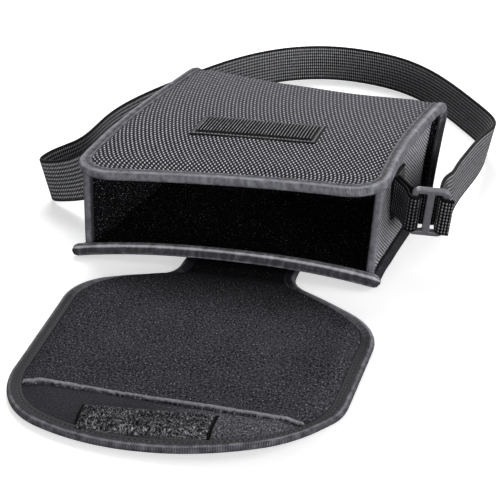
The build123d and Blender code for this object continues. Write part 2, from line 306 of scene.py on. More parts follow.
def raise_surface(shader, node, height, bump, depth):
    """Feeds the shader a bump of the height, with its depth in millimetres."""
    feed(shader, "Normal", node("Bump", Strength=bump, Distance=depth * mm, Height=height))


def finish_cloth(shader, node, height, dark, light, low, high, bump, depth, curve=1.0):
    """Colour from dark to light as height runs from low to high, to a power, and a bump of it.

    Gives the colour's output.
    """
    share = node("Math", node("MapRange", height, low, high), curve, operation="POWER")
    shade = node("Mix", share, colour(dark), colour(light), data_type="RGBA")
    feed(shader, "Base Color", shade)
    raise_surface(shader, node, height, bump, depth)
    return shade


# %% Places on the cloth
def cloth_place(node, wander=0.0, grain=60.0):
    """The cloth's own UV map, shifted by noise of that many millimetres so threads wander."""
    uv = node("UVMap", uv_map="cloth")
    if not wander:
        return uv
    noise = node("TexNoise", uv, grain, 2.0, out="Color")
    centred = node("VectorMath", noise, (0.5, 0.5, 0.5), operation="SUBTRACT")
    shift = node("VectorMath", centred, 2 * wander * mm, operation="SCALE")
    return node("VectorMath", uv, shift)


def in_millimetres(node, place_from, axis):
    """One coordinate of a place, times 1000."""
    return node("Math", node("SeparateXYZ", place_from, out=axis), 1000.0, operation="MULTIPLY")


def wave(node, place_from, cycles):
    """Sine along a direction, cycles per millimetre of cloth, as sin(2 pi cycles . uv)."""
    turns = [2 * math.pi * 1000 * c for c in cycles] + [0]
    return node("Math", node("VectorMath", place_from, turns, operation="DOT_PRODUCT"), operation="SINE")


def near_line(node, across, middle, outer, inner):
    """A share that is full within inner millimetres of a line and gone beyond outer."""
    away = node("Math", node("Math", across, middle, operation="SUBTRACT"), operation="ABSOLUTE")
    return node("MapRange", away, outer, inner)


def weighed_sum(node, *parts):
    """Sum of the sources, each times its share, which is below 0 where it darkens."""
    total = 0.0
    for source, share in parts:
        total = node("Math", source, share, total, operation="MULTIPLY_ADD")
    return total


# %% [markdown]
# The outer cloth is a coarse ballistic nylon: thick yarns in a basket weave, about 2 mm a
# cell, run on the bias to the panel's edges. Each yarn's crown catches the light and the
# gaps between yarns are black, so two crossed waves carry both colour and height. The side
# panels are a finer twill, which shows as thin diagonal ribs.

# %% Woven cloths
def ballistic_nylon():
    """Basket weave: two crossed waves over patchy noise, pale only on the yarns' crowns.

    Towards the closed end the cloth is matted, and its yarns stand out less.
    """
    material, shader, node = start_finish("ballistic nylon, basket woven", 0.7, 0.06)
    uv = cloth_place(node, wander=0.12)
    height = weighed_sum(
        node,
        (wave(node, uv, (0.474, 0.237)), 1.0),
        (wave(node, uv, (0.416, -0.234)), 1.0),
        (node("TexNoise", uv, 350.0, 2.0), 0.9),
    )
    woven = finish_cloth(shader, node, height, "020202", "f4f2ff", -1.3, 2.4, 0.5, 0.4, curve=4.8)
    matted = node("MapRange", in_millimetres(node, uv, "Y"), 40.0, 105.0, 0.0, 0.5)
    feed(shader, "Base Color", node("Mix", matted, woven, colour("626166"), data_type="RGBA"))
    return material


def gusset_twill():
    """Finer twill: one diagonal wave over a fine weft, dull and even.

    The wave has a rib every 1.7 mm. The real ribs are half as wide, and wouldn't show.
    """
    material, shader, node = start_finish("polyester twill, woven", 0.7, 0.1)
    uv = cloth_place(node, wander=0.15)
    height = weighed_sum(
        node,
        (wave(node, uv, (0.37, 0.47)), 0.8),
        (wave(node, uv, (0.0, 1.9)), 0.3),
        (node("TexNoise", uv, 500.0, 3.0), 1.5),
    )
    finish_cloth(shader, node, height, "131315", "ccccd2", -0.7, 2.1, 0.5, 0.25, curve=1.7)
    return material


# %% [markdown]
# Grosgrain binding tape is smooth, with faint cross ribs, and is pale wherever it is proud:
# on the two rolls at its edge and along its selvedges, partly rubbed and partly a painted
# highlight. Across a folded tape the map runs 5 mm a band, so 5 to 10 mm is the edge itself
# and the outer face comes before it. Each place on the case has its own painted light and
# shade, so a short function gives each one's marks and their shares.

# %% Painted light and shade on each tape
def seam_painted_shade(node, across):
    """Painted shade: dark below the case's upper edges, where it meets the cloth, and between its rolls.

    The upper edges rise by 0.13 mm a millimetre towards the closed end, so that much of y is
    taken from z.
    """
    slope = (0, -130.0, 1000.0)
    raised = node("VectorMath", node("TexCoord", out="Object"), slope, operation="DOT_PRODUCT")
    # Painted shade on the lower tape, along its selvedge and between its rolls.
    return [
        (node("MapRange", raised, 50.0, 40.0), -1.0),
        (node("MapRange", across, 1.0, 0.5), -0.8),
        (near_line(node, across, 2.4, 1.3, 0.4), -0.35),
    ]


def lip_painted_light(node, across):
    """Painted light: one bright ridge, a highlight, and below it a dark band of painted shade but for the
    lower roll, a fainter highlight.
    """
    # Painted highlights on the ridge and the lower roll, and painted shade below the ridge.
    return [
        (near_line(node, across, 8.3, 0.6, 0.2), 0.8),
        (near_line(node, across, 5.7, 0.9, 0.2), 0.25),
        (node("MapRange", across, 8.1, 7.5, 0.35, 0.65), -1.0),
    ]


def flap_painted_light(node, across):
    """Painted light and shade: dark at the neck, paler at the shoulders, darker towards the tip, and dark
    along the selvedge.
    """
    inward = in_millimetres(node, node("TexCoord", out="Object"), "Y")
    # Painted shade at the neck and towards the tip, painted light at the shoulders, painted shade along
    # the selvedge.
    return [
        (node("MapRange", inward, -84.0, -70.0), -1.0),
        (node("MapRange", inward, -94.0, -122.0, -0.3, 0.85), -1.0),
        (node("MapRange", across, 1.0, 0.5), -0.8),
    ]


def gusset_painted_shade(node, across):
    """Painted shade: dark inside the case, up to a paler selvedge."""
    # Painted shade on the band inside the case.
    return [
        (node("MapRange", across, 8.8, 10.0), -1.2),
        (near_line(node, across, 14.6, 0.8, 0.3), 0.9),
    ]


# %% Binding tape
def binding_tape(name, dark, light, painted_marks, edge_wear_and_highlight=0.0):
    """Smooth grosgrain tape: cross ribs 0.6 mm apart, pale where it is proud, worn and painted.

    The rolls and selvedges lie at whole multiples of 5 mm across the tape, and a ping-pong
    of half that finds them: their pale is partly wear and partly a painted highlight. The edge
    is made paler by the share that is given, also wear and a painted highlight. The painted
    marks add the light and shade of the tape's place.
    of half that finds them. The edge is rubbed by the share that is given.
    """
    material, shader, node = start_finish(name, 0.6, 0.12)
    uv = cloth_place(node, wander=0.1)
    across = in_millimetres(node, cloth_place(node), "X")
    from_roll = node("Math", across, band / 2, operation="PINGPONG")
    tone = weighed_sum(
        node,
        (wave(node, uv, (0.0, 1.6)), 0.3),
        (node("TexNoise", uv, 300.0, 3.0), 1.3),
        # Pale on the rolls and selvedges: partly wear, partly a painted highlight.
        (node("MapRange", from_roll, 1.1, 0.1), node("TexNoise", uv, 90.0, 2.0)),
        # The edge paler by the given share: wear and a painted highlight.
        (near_line(node, across, 1.5 * band, 3.0, 2.0), edge_wear_and_highlight),
        # Painted light and shade for the tape's place.
        *painted_marks(node, across),
    )
    finish_cloth(shader, node, tone, dark, light, 0.2, 1.9, 0.25, 0.15)
    return material


# %% [markdown]
# Fleece is a brushed knit: a dark matt pile in small clumps, with pale fibre ends on top.
# Particle hair could make it, but at this size the pile reads as a soft grain, so noise at
# two sizes is enough. It is pale at a cut edge, and darkens towards the flap's neck: painted
# shade, where the case stands over it.

# %% Brushed knit
def fleece(name, dark, light, bump, pale, ends_from, shaded_at_neck=False, cut_edge=None, darker_on_left=False):
    """Clumps of pile 1.1 mm across, and pale fibre ends 0.8 mm across on top.

    The real pile is about half as coarse, which would not show. Noise above ends_from is a
    fibre end. Fleece shaded at the neck turns black towards the flap's neck, painted shade,
    and may end in a cut edge, given as its distance along the map: its last 1.5 mm show a
    fuzzy line of cut pile. Fleece darker on the left darkens towards the tip's left, by its x
    alone.
    """
    material, shader, node = start_finish(name, 0.95, 0.02)
    uv = cloth_place(node)
    clumps = node("TexNoise", uv, 900.0, 4.0, 0.7)
    height = weighed_sum(node, (clumps, 1.0), (node("TexNoise", uv, 45.0, 2.0), 0.12))
    shade = finish_cloth(shader, node, height, dark, light, 0.44, 0.68, bump, 0.3)
    ends = node("MapRange", node("TexNoise", uv, 1300.0, 1.0), ends_from, ends_from + 0.14)
    if shaded_at_neck:
        along = in_millimetres(node, cloth_place(node, wander=0.5, grain=400.0), "Y")
    if cut_edge:
        hem = node("Math", clumps, 0.22)
        for start, full in ((-1.5, -1.2), (-0.3, -0.8)):
            inside = node("MapRange", along, cut_edge + start, cut_edge + full)
            hem = node("Math", hem, inside, operation="MULTIPLY")
        ends = node("Math", ends, hem, operation="MAXIMUM")
    # Painted shade: the fleece darkens towards the flap's neck, where the case stands over it; flat is its
    # share.
    if shaded_at_neck:
        flat = node("MapRange", along, 48.0, 2.0, 0.0, 0.88)
        shade = node("Mix", flat, shade, colour("040405"), data_type="RGBA")
        ends = node("Math", flat, -0.45, ends, operation="MULTIPLY_ADD")
    shade = node("Mix", ends, shade, colour(pale), data_type="RGBA")
    # Darker towards the left of the tip, by its x alone.
    if darker_on_left:
        left_share = node("MapRange", in_millimetres(node, uv, "X"), 22.0, -5.0, 0.0, 0.85)
        shade = node("Mix", left_share, shade, colour("303034"), data_type="RGBA")
    feed(shader, "Base Color", shade)
    return material


# %% [markdown]
# Webbing is a thick plain weave: ribs run across its width, and cords along it break them
# into a grid of small pale dots. The two closure tapes are nylon too. The hook side is
# moulded and glossy, with its hooks in rows. The loop side is napped to a matted curl.

# %% Ribbed webbing
def ribbed_webbing(name, light):
    """Plain webbing: ribs 1.5 mm apart across its width, broken by cords 2.2 mm apart.

    Across the width the map runs 25 mm a face, so a ping-pong of half that finds the two
    selvedges, painted black as shade. Within 17 mm of the buckle's middle it is darker, painted shade.
    """
    material, shader, node = start_finish(name, 0.6, 0.1)
    uv = cloth_place(node, wander=0.06)
    from_edge = node("Math", in_millimetres(node, cloth_place(node), "X"), 12.5, operation="PINGPONG")
    buckle_at = (0.0935, -0.031, 0.0318)
    from_buckle = node("VectorMath", node("TexCoord", out="Object"), buckle_at, operation="DISTANCE")
    tone = weighed_sum(
        node,
        (wave(node, uv, (0.0, 0.68)), 1.0),
        (wave(node, uv, (0.45, 0.0)), 0.65),
        (node("TexNoise", uv, 500.0, 2.0), 1.0),
        # Painted shade: black selvedges, and a darker stretch near the buckle.
        (node("MapRange", from_edge, 1.4, 0.6), -1.8),
        (node("MapRange", from_buckle, 0.023, 0.017), -0.65),
    )
    finish_cloth(shader, node, tone, "020202", light, -0.9, 2.3, 0.5, 0.3, curve=3.0)
    return material


# %% Closure tapes
hook_length, hook_width, rib_pitch = 66.0, 21.0, 1.7
loop_length, loop_width = 57.0, 17.2


def hook_tape():
    """Nylon hook tape: glossy black, with rows of hooks painted pale as a highlight inside a flat woven
    border.

    The wave is a quarter pitch back, so that its crests lie on the ribs of the mesh.
    """
    material, shader, node = start_finish("nylon hook tape, moulded", 0.5, 0.1)
    uv = cloth_place(node)
    from_middle = node("Math", in_millimetres(node, uv, "X"), operation="ABSOLUTE")
    from_end = node("Math", hook_length / 2, from_middle, operation="SUBTRACT")
    from_side = node("Math", in_millimetres(node, uv, "Y"), hook_width / 2, operation="PINGPONG")
    from_rim = node("Math", from_end, from_side, operation="MINIMUM")
    hooked = node("MapRange", from_rim, 2.0, 3.0)
    on_crown = node("VectorMath", uv, (-rib_pitch / 4 * mm, 0, 0))
    # Painted highlight: the colour is pale only on the ribs' crests.
    rows = node("Math", wave(node, on_crown, (1 / rib_pitch, 0.0)), 1.0)
    height = node("Math", rows, hooked, node("TexNoise", uv, 900.0, 2.0), operation="MULTIPLY_ADD")
    finish_cloth(shader, node, height, "010101", "e0e0e6", 0.85, 2.8, 0.4, 0.3, curve=6.5)
    return material


def loop_tape():
    """Nylon loop tape: a matted curl of loops about 2 mm across, with black sewn ends."""
    material, shader, node = start_finish("nylon loop tape, napped", 0.8, 0.05)
    uv = cloth_place(node)
    curls = node("TexNoise", uv, 480.0, 3.0, 0.75, Distortion=2.5)
    from_middle = node("Math", in_millimetres(node, uv, "X"), operation="ABSOLUTE")
    sewn = node("MapRange", from_middle, loop_length / 2 - 1.7, loop_length / 2 - 0.9, 0.0, -0.25)
    tone = node("Math", curls, sewn)
    finish_cloth(shader, node, tone, "020203", "c4c4ca", 0.40, 0.70, 0.9, 0.6, curve=2.3)
    return material


# %% [markdown]
# Two finishes are plain: the buckle's moulded acetal, satin with a fine orange peel, and
# the bonded sewing thread, with a fine twist. Then every finish is made once.

# %% Acetal and thread
def moulded_acetal():
    """Injection moulded acetal: dark grey, satin, a fine orange peel."""
    material, shader, node = start_finish("acetal, injection moulded", 0.28, 0.6)
    noise = node("TexNoise", node("TexCoord", out="Object"), 900.0, 2.0)
    finish_cloth(shader, node, noise, "56565a", "6a6a6f", 0.3, 0.7, 0.12, 0.1)
    return material


def sewing_thread(name, code):
    """Bonded polyester thread: an even colour, slightly soft at its edges, with a fine twist."""
    material, shader, node = start_finish(name, 0.45, sheen=0.1)
    shader.inputs["Base Color"].default_value = colour(code)
    twist = node("TexNoise", node("TexCoord", out="Object"), 1500.0)
    raise_surface(shader, node, twist, 0.2, 0.1)
    return material


# %% Every finish
outer_cloth = ballistic_nylon()
twill = gusset_twill()
# Four copies of one tape, darker and paler for where each lies: painted light and shade.
binding = binding_tape("polyester tape, grosgrain", "303036", "94949c", gusset_painted_shade)
seam_binding = binding_tape("polyester tape, on the seams", "222226", "b4b4bc", seam_painted_shade)
lip_binding = binding_tape("polyester tape, ridged", "26262a", "d0d0d8", lip_painted_light)
flap_binding = binding_tape("polyester tape, pale at the edge", "1c1c20", "a4a4ac", flap_painted_light, 0.6)
panel_end = 120.5  # where the flap's fleece panel is cut, from the first fold
flap_fleece = fleece("brushed knit, napped", "0a0a0c", "48484d", 0.6, "8c8c92", 0.62, shaded_at_neck=True)
flap_hem_fleece = fleece(
    "brushed knit, cut edge", "0a0a0c", "48484d", 0.6, "96969c", 0.62, shaded_at_neck=True, cut_edge=panel_end,
)
tip_fleece = fleece("brushed knit, darker on the left", "1c1c1e", "646469", 0.5, "9a9aa0", 0.58, darker_on_left=True)
# A darker copy of the fleece for the case's inside: painted shade.
shaded_lining_fleece = fleece("brushed knit, in the case", "050506", "161618", 0.6, "d8d8de", 0.66)
webbing = ribbed_webbing("nylon webbing, ribbed", "ececf2")
# A darker copy for the tab, the tail and the sewn ends: painted shade.
shaded_webbing = ribbed_webbing("nylon webbing, ribbed, darker", "b0b0b8")
hooks = hook_tape()
loops = loop_tape()
acetal = moulded_acetal()
thread = sewing_thread("bonded polyester thread", "6e6e72")
dark_thread = sewing_thread("bonded polyester thread, black", "1a1a1c")
print("materials, with the frame's own:", len(bpy.data.materials))


# %% Dressing a piece
def dress(piece, material, slot, body, stands_for=()):
    """Material, body and the CAD nodes that the piece stands for. The slot is not used."""
    piece.data.materials.append(material)
    if body:
        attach(piece, body)
    if stands_for:
        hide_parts(*stands_for)
    return piece


# %% [markdown]
# ## The wrapped panel
# Front, closed end and back are one strip of padded cloth. Its side view is a line with
# four rounded corners, and across the case it is straight, apart from the two rounded
# corners of the front panel's mouth edge. The foam makes the front puff a little between
# its bound edges. A cloth simulation could find that puff, but its seams would drift.

# %% Side view of the panel
lip_end = (-2.2, lip_rise + 1.3)
end_top, end_foot = (122, end_height), (102, 0)
side_corners = [(0, mouth_height), (62, crown_height), end_top, end_foot, (30, 0), (6, 2.2), lip_end]
profile = evenly(rounded(side_corners, [250, 9, 16, 60, 14], 0.4), 900)
profile_normal = left_normals(profile)
profile_run = distances(profile)
panel_run = profile_run[-1]
front_points = 370  # the profile's first points, which run inwards along the front panel


def run_at(y):
    """Distance along the profile to the front panel's point at y."""
    return np.interp(y, profile[:front_points, 0], profile_run[:front_points])


def panel_half(run):
    """Half the panel's width: a quarter circle near the mouth edge, then the full half."""
    y = np.where(run < run_at(110), at(profile, run)[..., 0], mouth_radius).clip(0, mouth_radius)
    return half - mouth_radius + np.sqrt(mouth_radius**2 - (mouth_radius - y) ** 2)


print("side view:", round(panel_run), "mm round,", len(profile), "points")


# %% Points of the panel
pinched = 3.3  # the wall where the tape has pressed the mouth edge together


def panel_normal(run):
    """Outward normal of the side view, read between the profile's points."""
    return unit(read(profile_normal, profile_run, run))


def panel_grid(runs, across, depth, inset=0.0):
    """Points of the panel: along the profile by run, sideways by share, into the wall by depth.

    Near the mouth edge the depth shrinks to the share of the wall that is left there.
    """
    depth = depth * (1 - (1 - pinched / wall) * smooth(runs, 14, 5))[:, None]
    line, normal = at(profile, runs), panel_normal(runs)
    reach = (panel_half(runs) - inset)[:, None] * across[None, :]
    depth = np.broadcast_to(depth, reach.shape)
    y = line[:, None, 0] - normal[:, None, 0] * depth
    z = line[:, None, 1] - normal[:, None, 1] * depth
    return np.stack([reach, y, z], axis=-1)


def corner_y(turn):
    """Distance in from the mouth, this far round the rounded corner: radius x (1 - cosine)."""
    return mouth_radius * (1 - np.cos(turn))


# %% The wrapped panel
corner_part = run_at(corner_y(np.linspace(0.03, math.pi / 2, 16)))
panel_runs = np.r_[corner_part, np.linspace(mouth_radius + 2.5, panel_run - 0.3, 150)]
panel_across = np.linspace(-1, 1, 91)
mesh_run, mesh_across = np.meshgrid(panel_runs, panel_across, indexing="ij")
panel_uv = np.stack([mesh_across * half, mesh_run], axis=-1)


def pad_along(run):
    """Share of the front's puff along the panel: none at its two bound edges."""
    return smooth(run, 3, 16) * smooth(run, 124, 112)


front_puff, end_puff, ripple_height = 0.9, 0.8, 0.35
from_sides = smooth(np.abs(mesh_across), 0.97, 0.8)
end_pad = smooth(mesh_run, 126, 140) * smooth(mesh_run, 186, 172)
ripple = np.sin(mesh_run / 17 + mesh_across * 2.1) * np.sin(mesh_across * 5.3 + mesh_run / 41)
front_puffed = pad_along(mesh_run) * from_sides * (front_puff + ripple_height * ripple)
puff = front_puffed + end_pad * from_sides * end_puff

shell = padded_sheet(
    "case_shell",
    slump(panel_grid(panel_runs, panel_across, -puff, 0.6)),
    slump(panel_grid(panel_runs, panel_across, 3.5, 0.6)),
    panel_uv,
)
dress(shell, outer_cloth, "woven_shell", "case", ["body_shell", "front_foam", "end_foam", "back_foam"])

lining = padded_sheet(
    "case_lining",
    slump(panel_grid(panel_runs, panel_across, 3.6, 0.8)),
    slump(panel_grid(panel_runs, panel_across, wall, 0.8)),
    panel_uv,
)
dress(lining, shaded_lining_fleece, "fleece", "case", ["body_lining"])
print("panel:", len(shell.data.polygons), "faces of cloth,", len(lining.data.polygons), "of lining")

# %% [markdown]
# ## Folded tape
# Every raw edge is wrapped in tape. Its section is a U round the wall: a slightly domed
# band on the outer face, a rounded edge and a second band inside. The path gives at each
# station the edge point, the face's normal and the direction out of the edge. A bevelled
# curve would turn the section freely, and this keeps it square to the cloth.

# %% Section of folded tape
stitch_inset, tape_roll, edge_bulge = 2.9, 0.45, 1.5
tape_height, groove_depth = 0.6, 0.32
band_points, edge_points, inside_points = 18, 9, 4


def tape_section(thick, inner_band=band, outer_band=band):
    """Ring of (out of the edge, out of the face) points: two bands of tape and a half ellipse.

    A band's height is a quarter circle at its selvedge, less a groove along the stitches,
    plus a roll where the tape turns round the edge.
    """
    s = np.linspace(0, 1, band_points)

    def band_height(x, width):
        selvedge = tape_height * np.sqrt(1 - (1 - np.clip((x + width) / 0.5, 0, 1)) ** 2)
        groove = groove_depth * np.exp(-(((x + stitch_inset) / 0.3) ** 2))
        return selvedge - groove + tape_roll * np.exp(-(((x + 0.9) / 0.9) ** 2))

    outer_x, inner_x = -outer_band * (1 - s), -inner_band * s
    turn = np.linspace(math.pi / 2, -math.pi / 2, edge_points + 2)[1:-1]
    rise = thick / 2 + band_height(0, outer_band)
    outer = np.stack([outer_x, band_height(outer_x, outer_band)], axis=-1)
    edge = np.stack([edge_bulge * np.cos(turn) ** 0.8, -thick / 2 + rise * np.sin(turn)], axis=-1)
    inner = np.stack([inner_x, -thick - band_height(inner_x, inner_band)], axis=-1)
    by_edge = [(-0.3, 0.2 - thick), (-0.3, -0.2)]
    wall_side = [(-inner_band / 2, 0.12 - thick), *by_edge, (-outer_band / 2, -0.12)]
    return np.concatenate([outer, edge, inner, wall_side])


tape_across = np.r_[
    np.linspace(0, band, band_points),
    np.linspace(band, 2 * band, edge_points + 2)[1:-1],
    np.linspace(2 * band, 3 * band, band_points),
    np.linspace(3 * band, 4 * band, inside_points + 1),
]
print("tape section:", len(tape_section(wall)), "points")


# %% Tape along a line
def tape_rings(edge, normal, outward, sections):
    """Rings along an edge: edge + outward x first coordinate + normal x second coordinate."""
    return edge[:, None] + outward[:, None] * sections[..., :1] + normal[:, None] * sections[..., 1:]


def soften(values, width):
    """Each value replaced by the mean of its neighbours, width on each side."""
    kernel = np.ones(2 * width + 1) / (2 * width + 1)
    padded = np.concatenate([values[:1].repeat(width, 0), values, values[-1:].repeat(width, 0)])
    return np.stack([np.convolve(c, kernel, "valid") for c in padded.T], axis=-1)


# %% The mouth's and the seams' edge, as one line
def panel_edge(runs, side):
    """Edge points of one side of the panel with its face normals."""
    grid = panel_grid(runs, np.array([float(side)]), 0.0)[:, 0]
    return grid, np.c_[np.zeros(len(runs)), panel_normal(runs)]


corner_runs = run_at(corner_y(np.linspace(0, math.pi / 2, 26)))
side_runs = np.r_[corner_runs, np.linspace(corner_runs[-1] + 1.6, panel_run - 5.0, 190)]
left_edge, left_normal = panel_edge(side_runs, -1)
right_edge, right_normal = panel_edge(side_runs, 1)
mouth_points = 58
mouth_x = np.linspace(mouth_radius - half, half - mouth_radius, mouth_points + 2)[1:-1]
mouth_edge = mouth_x[:, None] * (1, 0, 0) + (0, 0, mouth_height)
edge_line = np.concatenate([left_edge[::-1], mouth_edge, right_edge])
edge_normal = np.concatenate([left_normal[::-1], left_normal[:1].repeat(mouth_points, 0), right_normal])
edge_normal = unit(soften(edge_normal, 2))
edge_out = unit(np.cross(unit(np.gradient(edge_line, axis=0)), edge_normal))
print("edge line:", round(distances(edge_line)[-1]), "mm in", len(edge_line), "stations")

# %% Edge tape
# Full at the mouth, a thin fin down the side seams, and thinner still round the closed end.
full_tape, fin_tape, end_tape = tape_section(pinched), tape_section(wall, 3.2), tape_section(wall, 1.4)
at_mouth = smooth(edge_line[:, 1], 16, 8) * (edge_line[:, 2] > 30)
at_end = smooth(edge_line[:, 1], 96, 112)
edge_sections = (
    fin_tape
    + (full_tape - fin_tape) * at_mouth[:, None, None]
    + (end_tape - fin_tape) * at_end[:, None, None]
)
edge_rings = slump(tape_rings(edge_line, edge_normal, edge_out, edge_sections))
cut_right = len(left_edge) + mouth_points + int(np.argmax(right_edge[:, 0] > half - band))
cut_left = len(left_edge) - 1 - int(np.argmax(-left_edge[:, 0] > half - band))
for name, first, last, solid in (
    ("seam_tape_left", 0, cut_left + 1, "seam_binding_left"),
    ("mouth_tape", cut_left, cut_right + 1, "mouth_binding"),
    ("seam_tape_right", cut_right, len(edge_line), "seam_binding_right"),
):
    piece = swept(name, edge_rings[first:last], tape_across)
    dress(piece, seam_binding, "binding_tape", "case", [solid])
    print(name, "has", last - first, "stations")

# %% [markdown]
# The lip is the back panel's free edge, bound the same way, with both ends of the tape
# tucked round into small rolls that stand past the side seams. The section shrinks there
# as a quarter ellipse does, which closes each end without a hard corner.

# %% Lip binding
lip_points = 110
lip_x = np.linspace(-(half + 4.9), half + 3.2, lip_points)
past_seam = np.where(lip_x < 0, -lip_x - 1.7, lip_x) - half + 0.6
end_shape = np.sqrt(np.clip(1 - (past_seam / 3.9).clip(0) ** 2, 0.03, 1))
lip_edge = lip_x[:, None] * (1, 0, 0) + (0, *lip_end)
lip_up = np.tile(unit(np.r_[0, profile_normal[-1]]), (lip_points, 1))
lip_out = np.tile(unit(np.r_[0, profile[-1] - profile[-3]]), (lip_points, 1))
lip_section = tape_section(4.6) + (0, 0.3)
section_middle = lip_section.mean(0)
lip_sections = section_middle + (lip_section - section_middle) * end_shape[:, None, None]
lip = swept("lip_tape", slump(tape_rings(lip_edge, lip_up, lip_out, lip_sections)), tape_across)
dress(lip, lip_binding, "binding_tape", "case", ["lip_binding"])
print("lip tape:", round(lip_x[-1] - lip_x[0]), "mm")

# %% [markdown]
# ## Gussets
# Each side is a flat padded panel. Four boundary lines are blended into a grid (a Coons
# patch): the leaning mouth edge, the floor seam, the end seam and the upper seam. Filling
# the outline with one big face would be quicker, but only a grid can sag. The wall sags
# inwards a little between its seams.

# %% Gusset grid
gusset_setback = 12.0
gusset_wall, gusset_pinched = 4.1, 2.1
gusset_lean = gusset_setback / (mouth_height - wall)
inner_line = profile - profile_normal * wall


def gusset_grid(columns=64, rows=34):
    """Grid of (y, z) inside the gusset: sum of the two edge blends less the corner blend."""
    line = inner_line[inner_line[:, 0] > inner_line[:, 1] * gusset_lean]
    top_corner = int(np.argmin(np.linalg.norm(line - end_top, axis=1)))
    low_corner = int(np.argmin(np.linalg.norm(line - end_foot, axis=1)))
    top = evenly(line[:top_corner + 1], columns)
    end = evenly(line[top_corner:low_corner + 1][::-1], rows)
    low = evenly(line[low_corner:][::-1], columns)
    mouth = evenly(np.array([low[0], top[0]]), rows)
    a, b = np.linspace(0, 1, columns)[:, None, None], np.linspace(0, 1, rows)[None, :, None]
    corners = (1 - a) * (1 - b) * low[0] + a * (1 - b) * low[-1] + (1 - a) * b * top[0] + a * b * top[-1]
    return (1 - b) * low[:, None] + b * top[:, None] + (1 - a) * mouth[None] + a * end[None] - corners


def gusset_sag(y, z, side):
    """How far the wall sags inwards, in millimetres: a product of two half sines."""
    depth = 1.2 if side > 0 else 0.8
    middle = np.sin(math.pi * np.clip((y - 4) / 106, 0, 1)) * np.sin(math.pi * np.clip((z - 3) / 52, 0, 1))
    return depth * middle + 2.2 * smooth(y, 84, 108) * smooth(z, 4, 16)


def gusset_face(yz, side, depth):
    """Points of the gusset at a depth into its wall, which is pressed thin at its mouth edge."""
    near_edge = smooth(yz[..., 0] - yz[..., 1] * gusset_lean, 12, 3)
    depth = depth * (1 - (1 - gusset_pinched / gusset_wall) * near_edge)
    x = side * (gusset_x - depth - gusset_sag(yz[..., 0], yz[..., 1], side))
    return np.concatenate([x[..., None], yz], axis=-1)


# %% Gussets and their tape
side_yz = gusset_grid()
gusset_edge = at(side_yz[0], np.linspace(0.2, distances(side_yz[0])[-1] - 0.2, 40))
gusset_section = np.tile(tape_section(gusset_pinched, 3.2, 3.4), (40, 1, 1))


def gusset_sheet(name, side, outer_depth, inner_depth):
    """Closed sheet of one gusset between two depths into its wall."""
    faces = (slump(gusset_face(side_yz, side, depth)) for depth in (outer_depth, inner_depth))
    return padded_sheet(name, *faces, side_yz)


for side, word in ((-1, "left"), (1, "right")):
    cloth = gusset_sheet(f"gusset_{word}", side, 0, 3.0)
    dress(cloth, twill, "gusset_cloth", "case", [f"gusset_shell_{word}", f"gusset_foam_{word}"])
    inside = gusset_sheet(f"gusset_lining_{word}_cloth", side, 3.1, gusset_wall)
    dress(inside, shaded_lining_fleece, "fleece", "case", [f"gusset_lining_{word}"])
    points = gusset_face(gusset_edge, side, 0)
    normal = np.tile((float(side), 0, 0), (40, 1))
    outward = np.tile(unit(np.array([0, -1.0, gusset_lean])), (40, 1))
    rings = slump(tape_rings(points, normal, outward, gusset_section))
    edging = swept(f"gusset_tape_{word}", rings, tape_across)
    dress(edging, binding, "binding_tape", "case", [f"gusset_binding_{word}"])
print("gussets:", side_yz.shape)

# %% [markdown]
# ## Hook patch
# A rectangle of hook tape sewn flat on the front panel. The hooks stand in rows across
# the short way, so in the light the patch reads as glossy ribs inside a flat woven border
# with one row of stitches. Thousands of single hooks wouldn't show, and ribs do.

# %% Hook patch
hook_middle, hook_border = 56.0, 2.0
hook_run0 = run_at(hook_middle - hook_width / 2)
hook_x = np.linspace(-hook_length / 2, hook_length / 2, 400)
hx, hv = np.meshgrid(hook_x, np.linspace(0, hook_width, 46), indexing="ij")
inside_border = np.minimum(hook_length / 2 - np.abs(hx), np.minimum(hv, hook_width - hv))
ribs = (0.5 - 0.5 * np.cos(2 * math.pi * hx / rib_pitch)) ** 0.7
hooked = smooth(inside_border, hook_border, hook_border + 0.9)
hook_height = 0.45 * smooth(inside_border, 0, 0.5) + hooked * (0.25 + 0.85 * ribs)


def on_front(x, run, height):
    """Points on the front panel's outer face, height above its puffed surface."""
    height = height + front_puff * pad_along(run)
    y, z = np.moveaxis(at(profile, run) + panel_normal(run) * height[..., None], -1, 0)
    return slump(np.stack([x, y, z], axis=-1))


patch = padded_sheet(
    "hook_patch_tape",
    on_front(hx, hook_run0 + hv, hook_height + 0.25),
    on_front(hx, hook_run0 + hv, -0.3 + 0 * hx),
    np.stack([hx, hv], axis=-1),
    70,
)
dress(patch, hooks, "hook_tape", "case", ["hook_patch"])
print("hook patch:", hook_length, "x", hook_width, "mm,", round(hook_length / rib_pitch), "ribs")

# %% [markdown]
# ## Stitches
# A stitch is a short capsule of thread, half sunk in the tape. One small shape of four
# hexagonal rings is repeated at every station of a seam line, as whole arrays in one mesh,
# because hundreds of separate objects would be slow to handle.

# %% Rows of stitches
stitch_faces = 20  # three bands of six and two caps


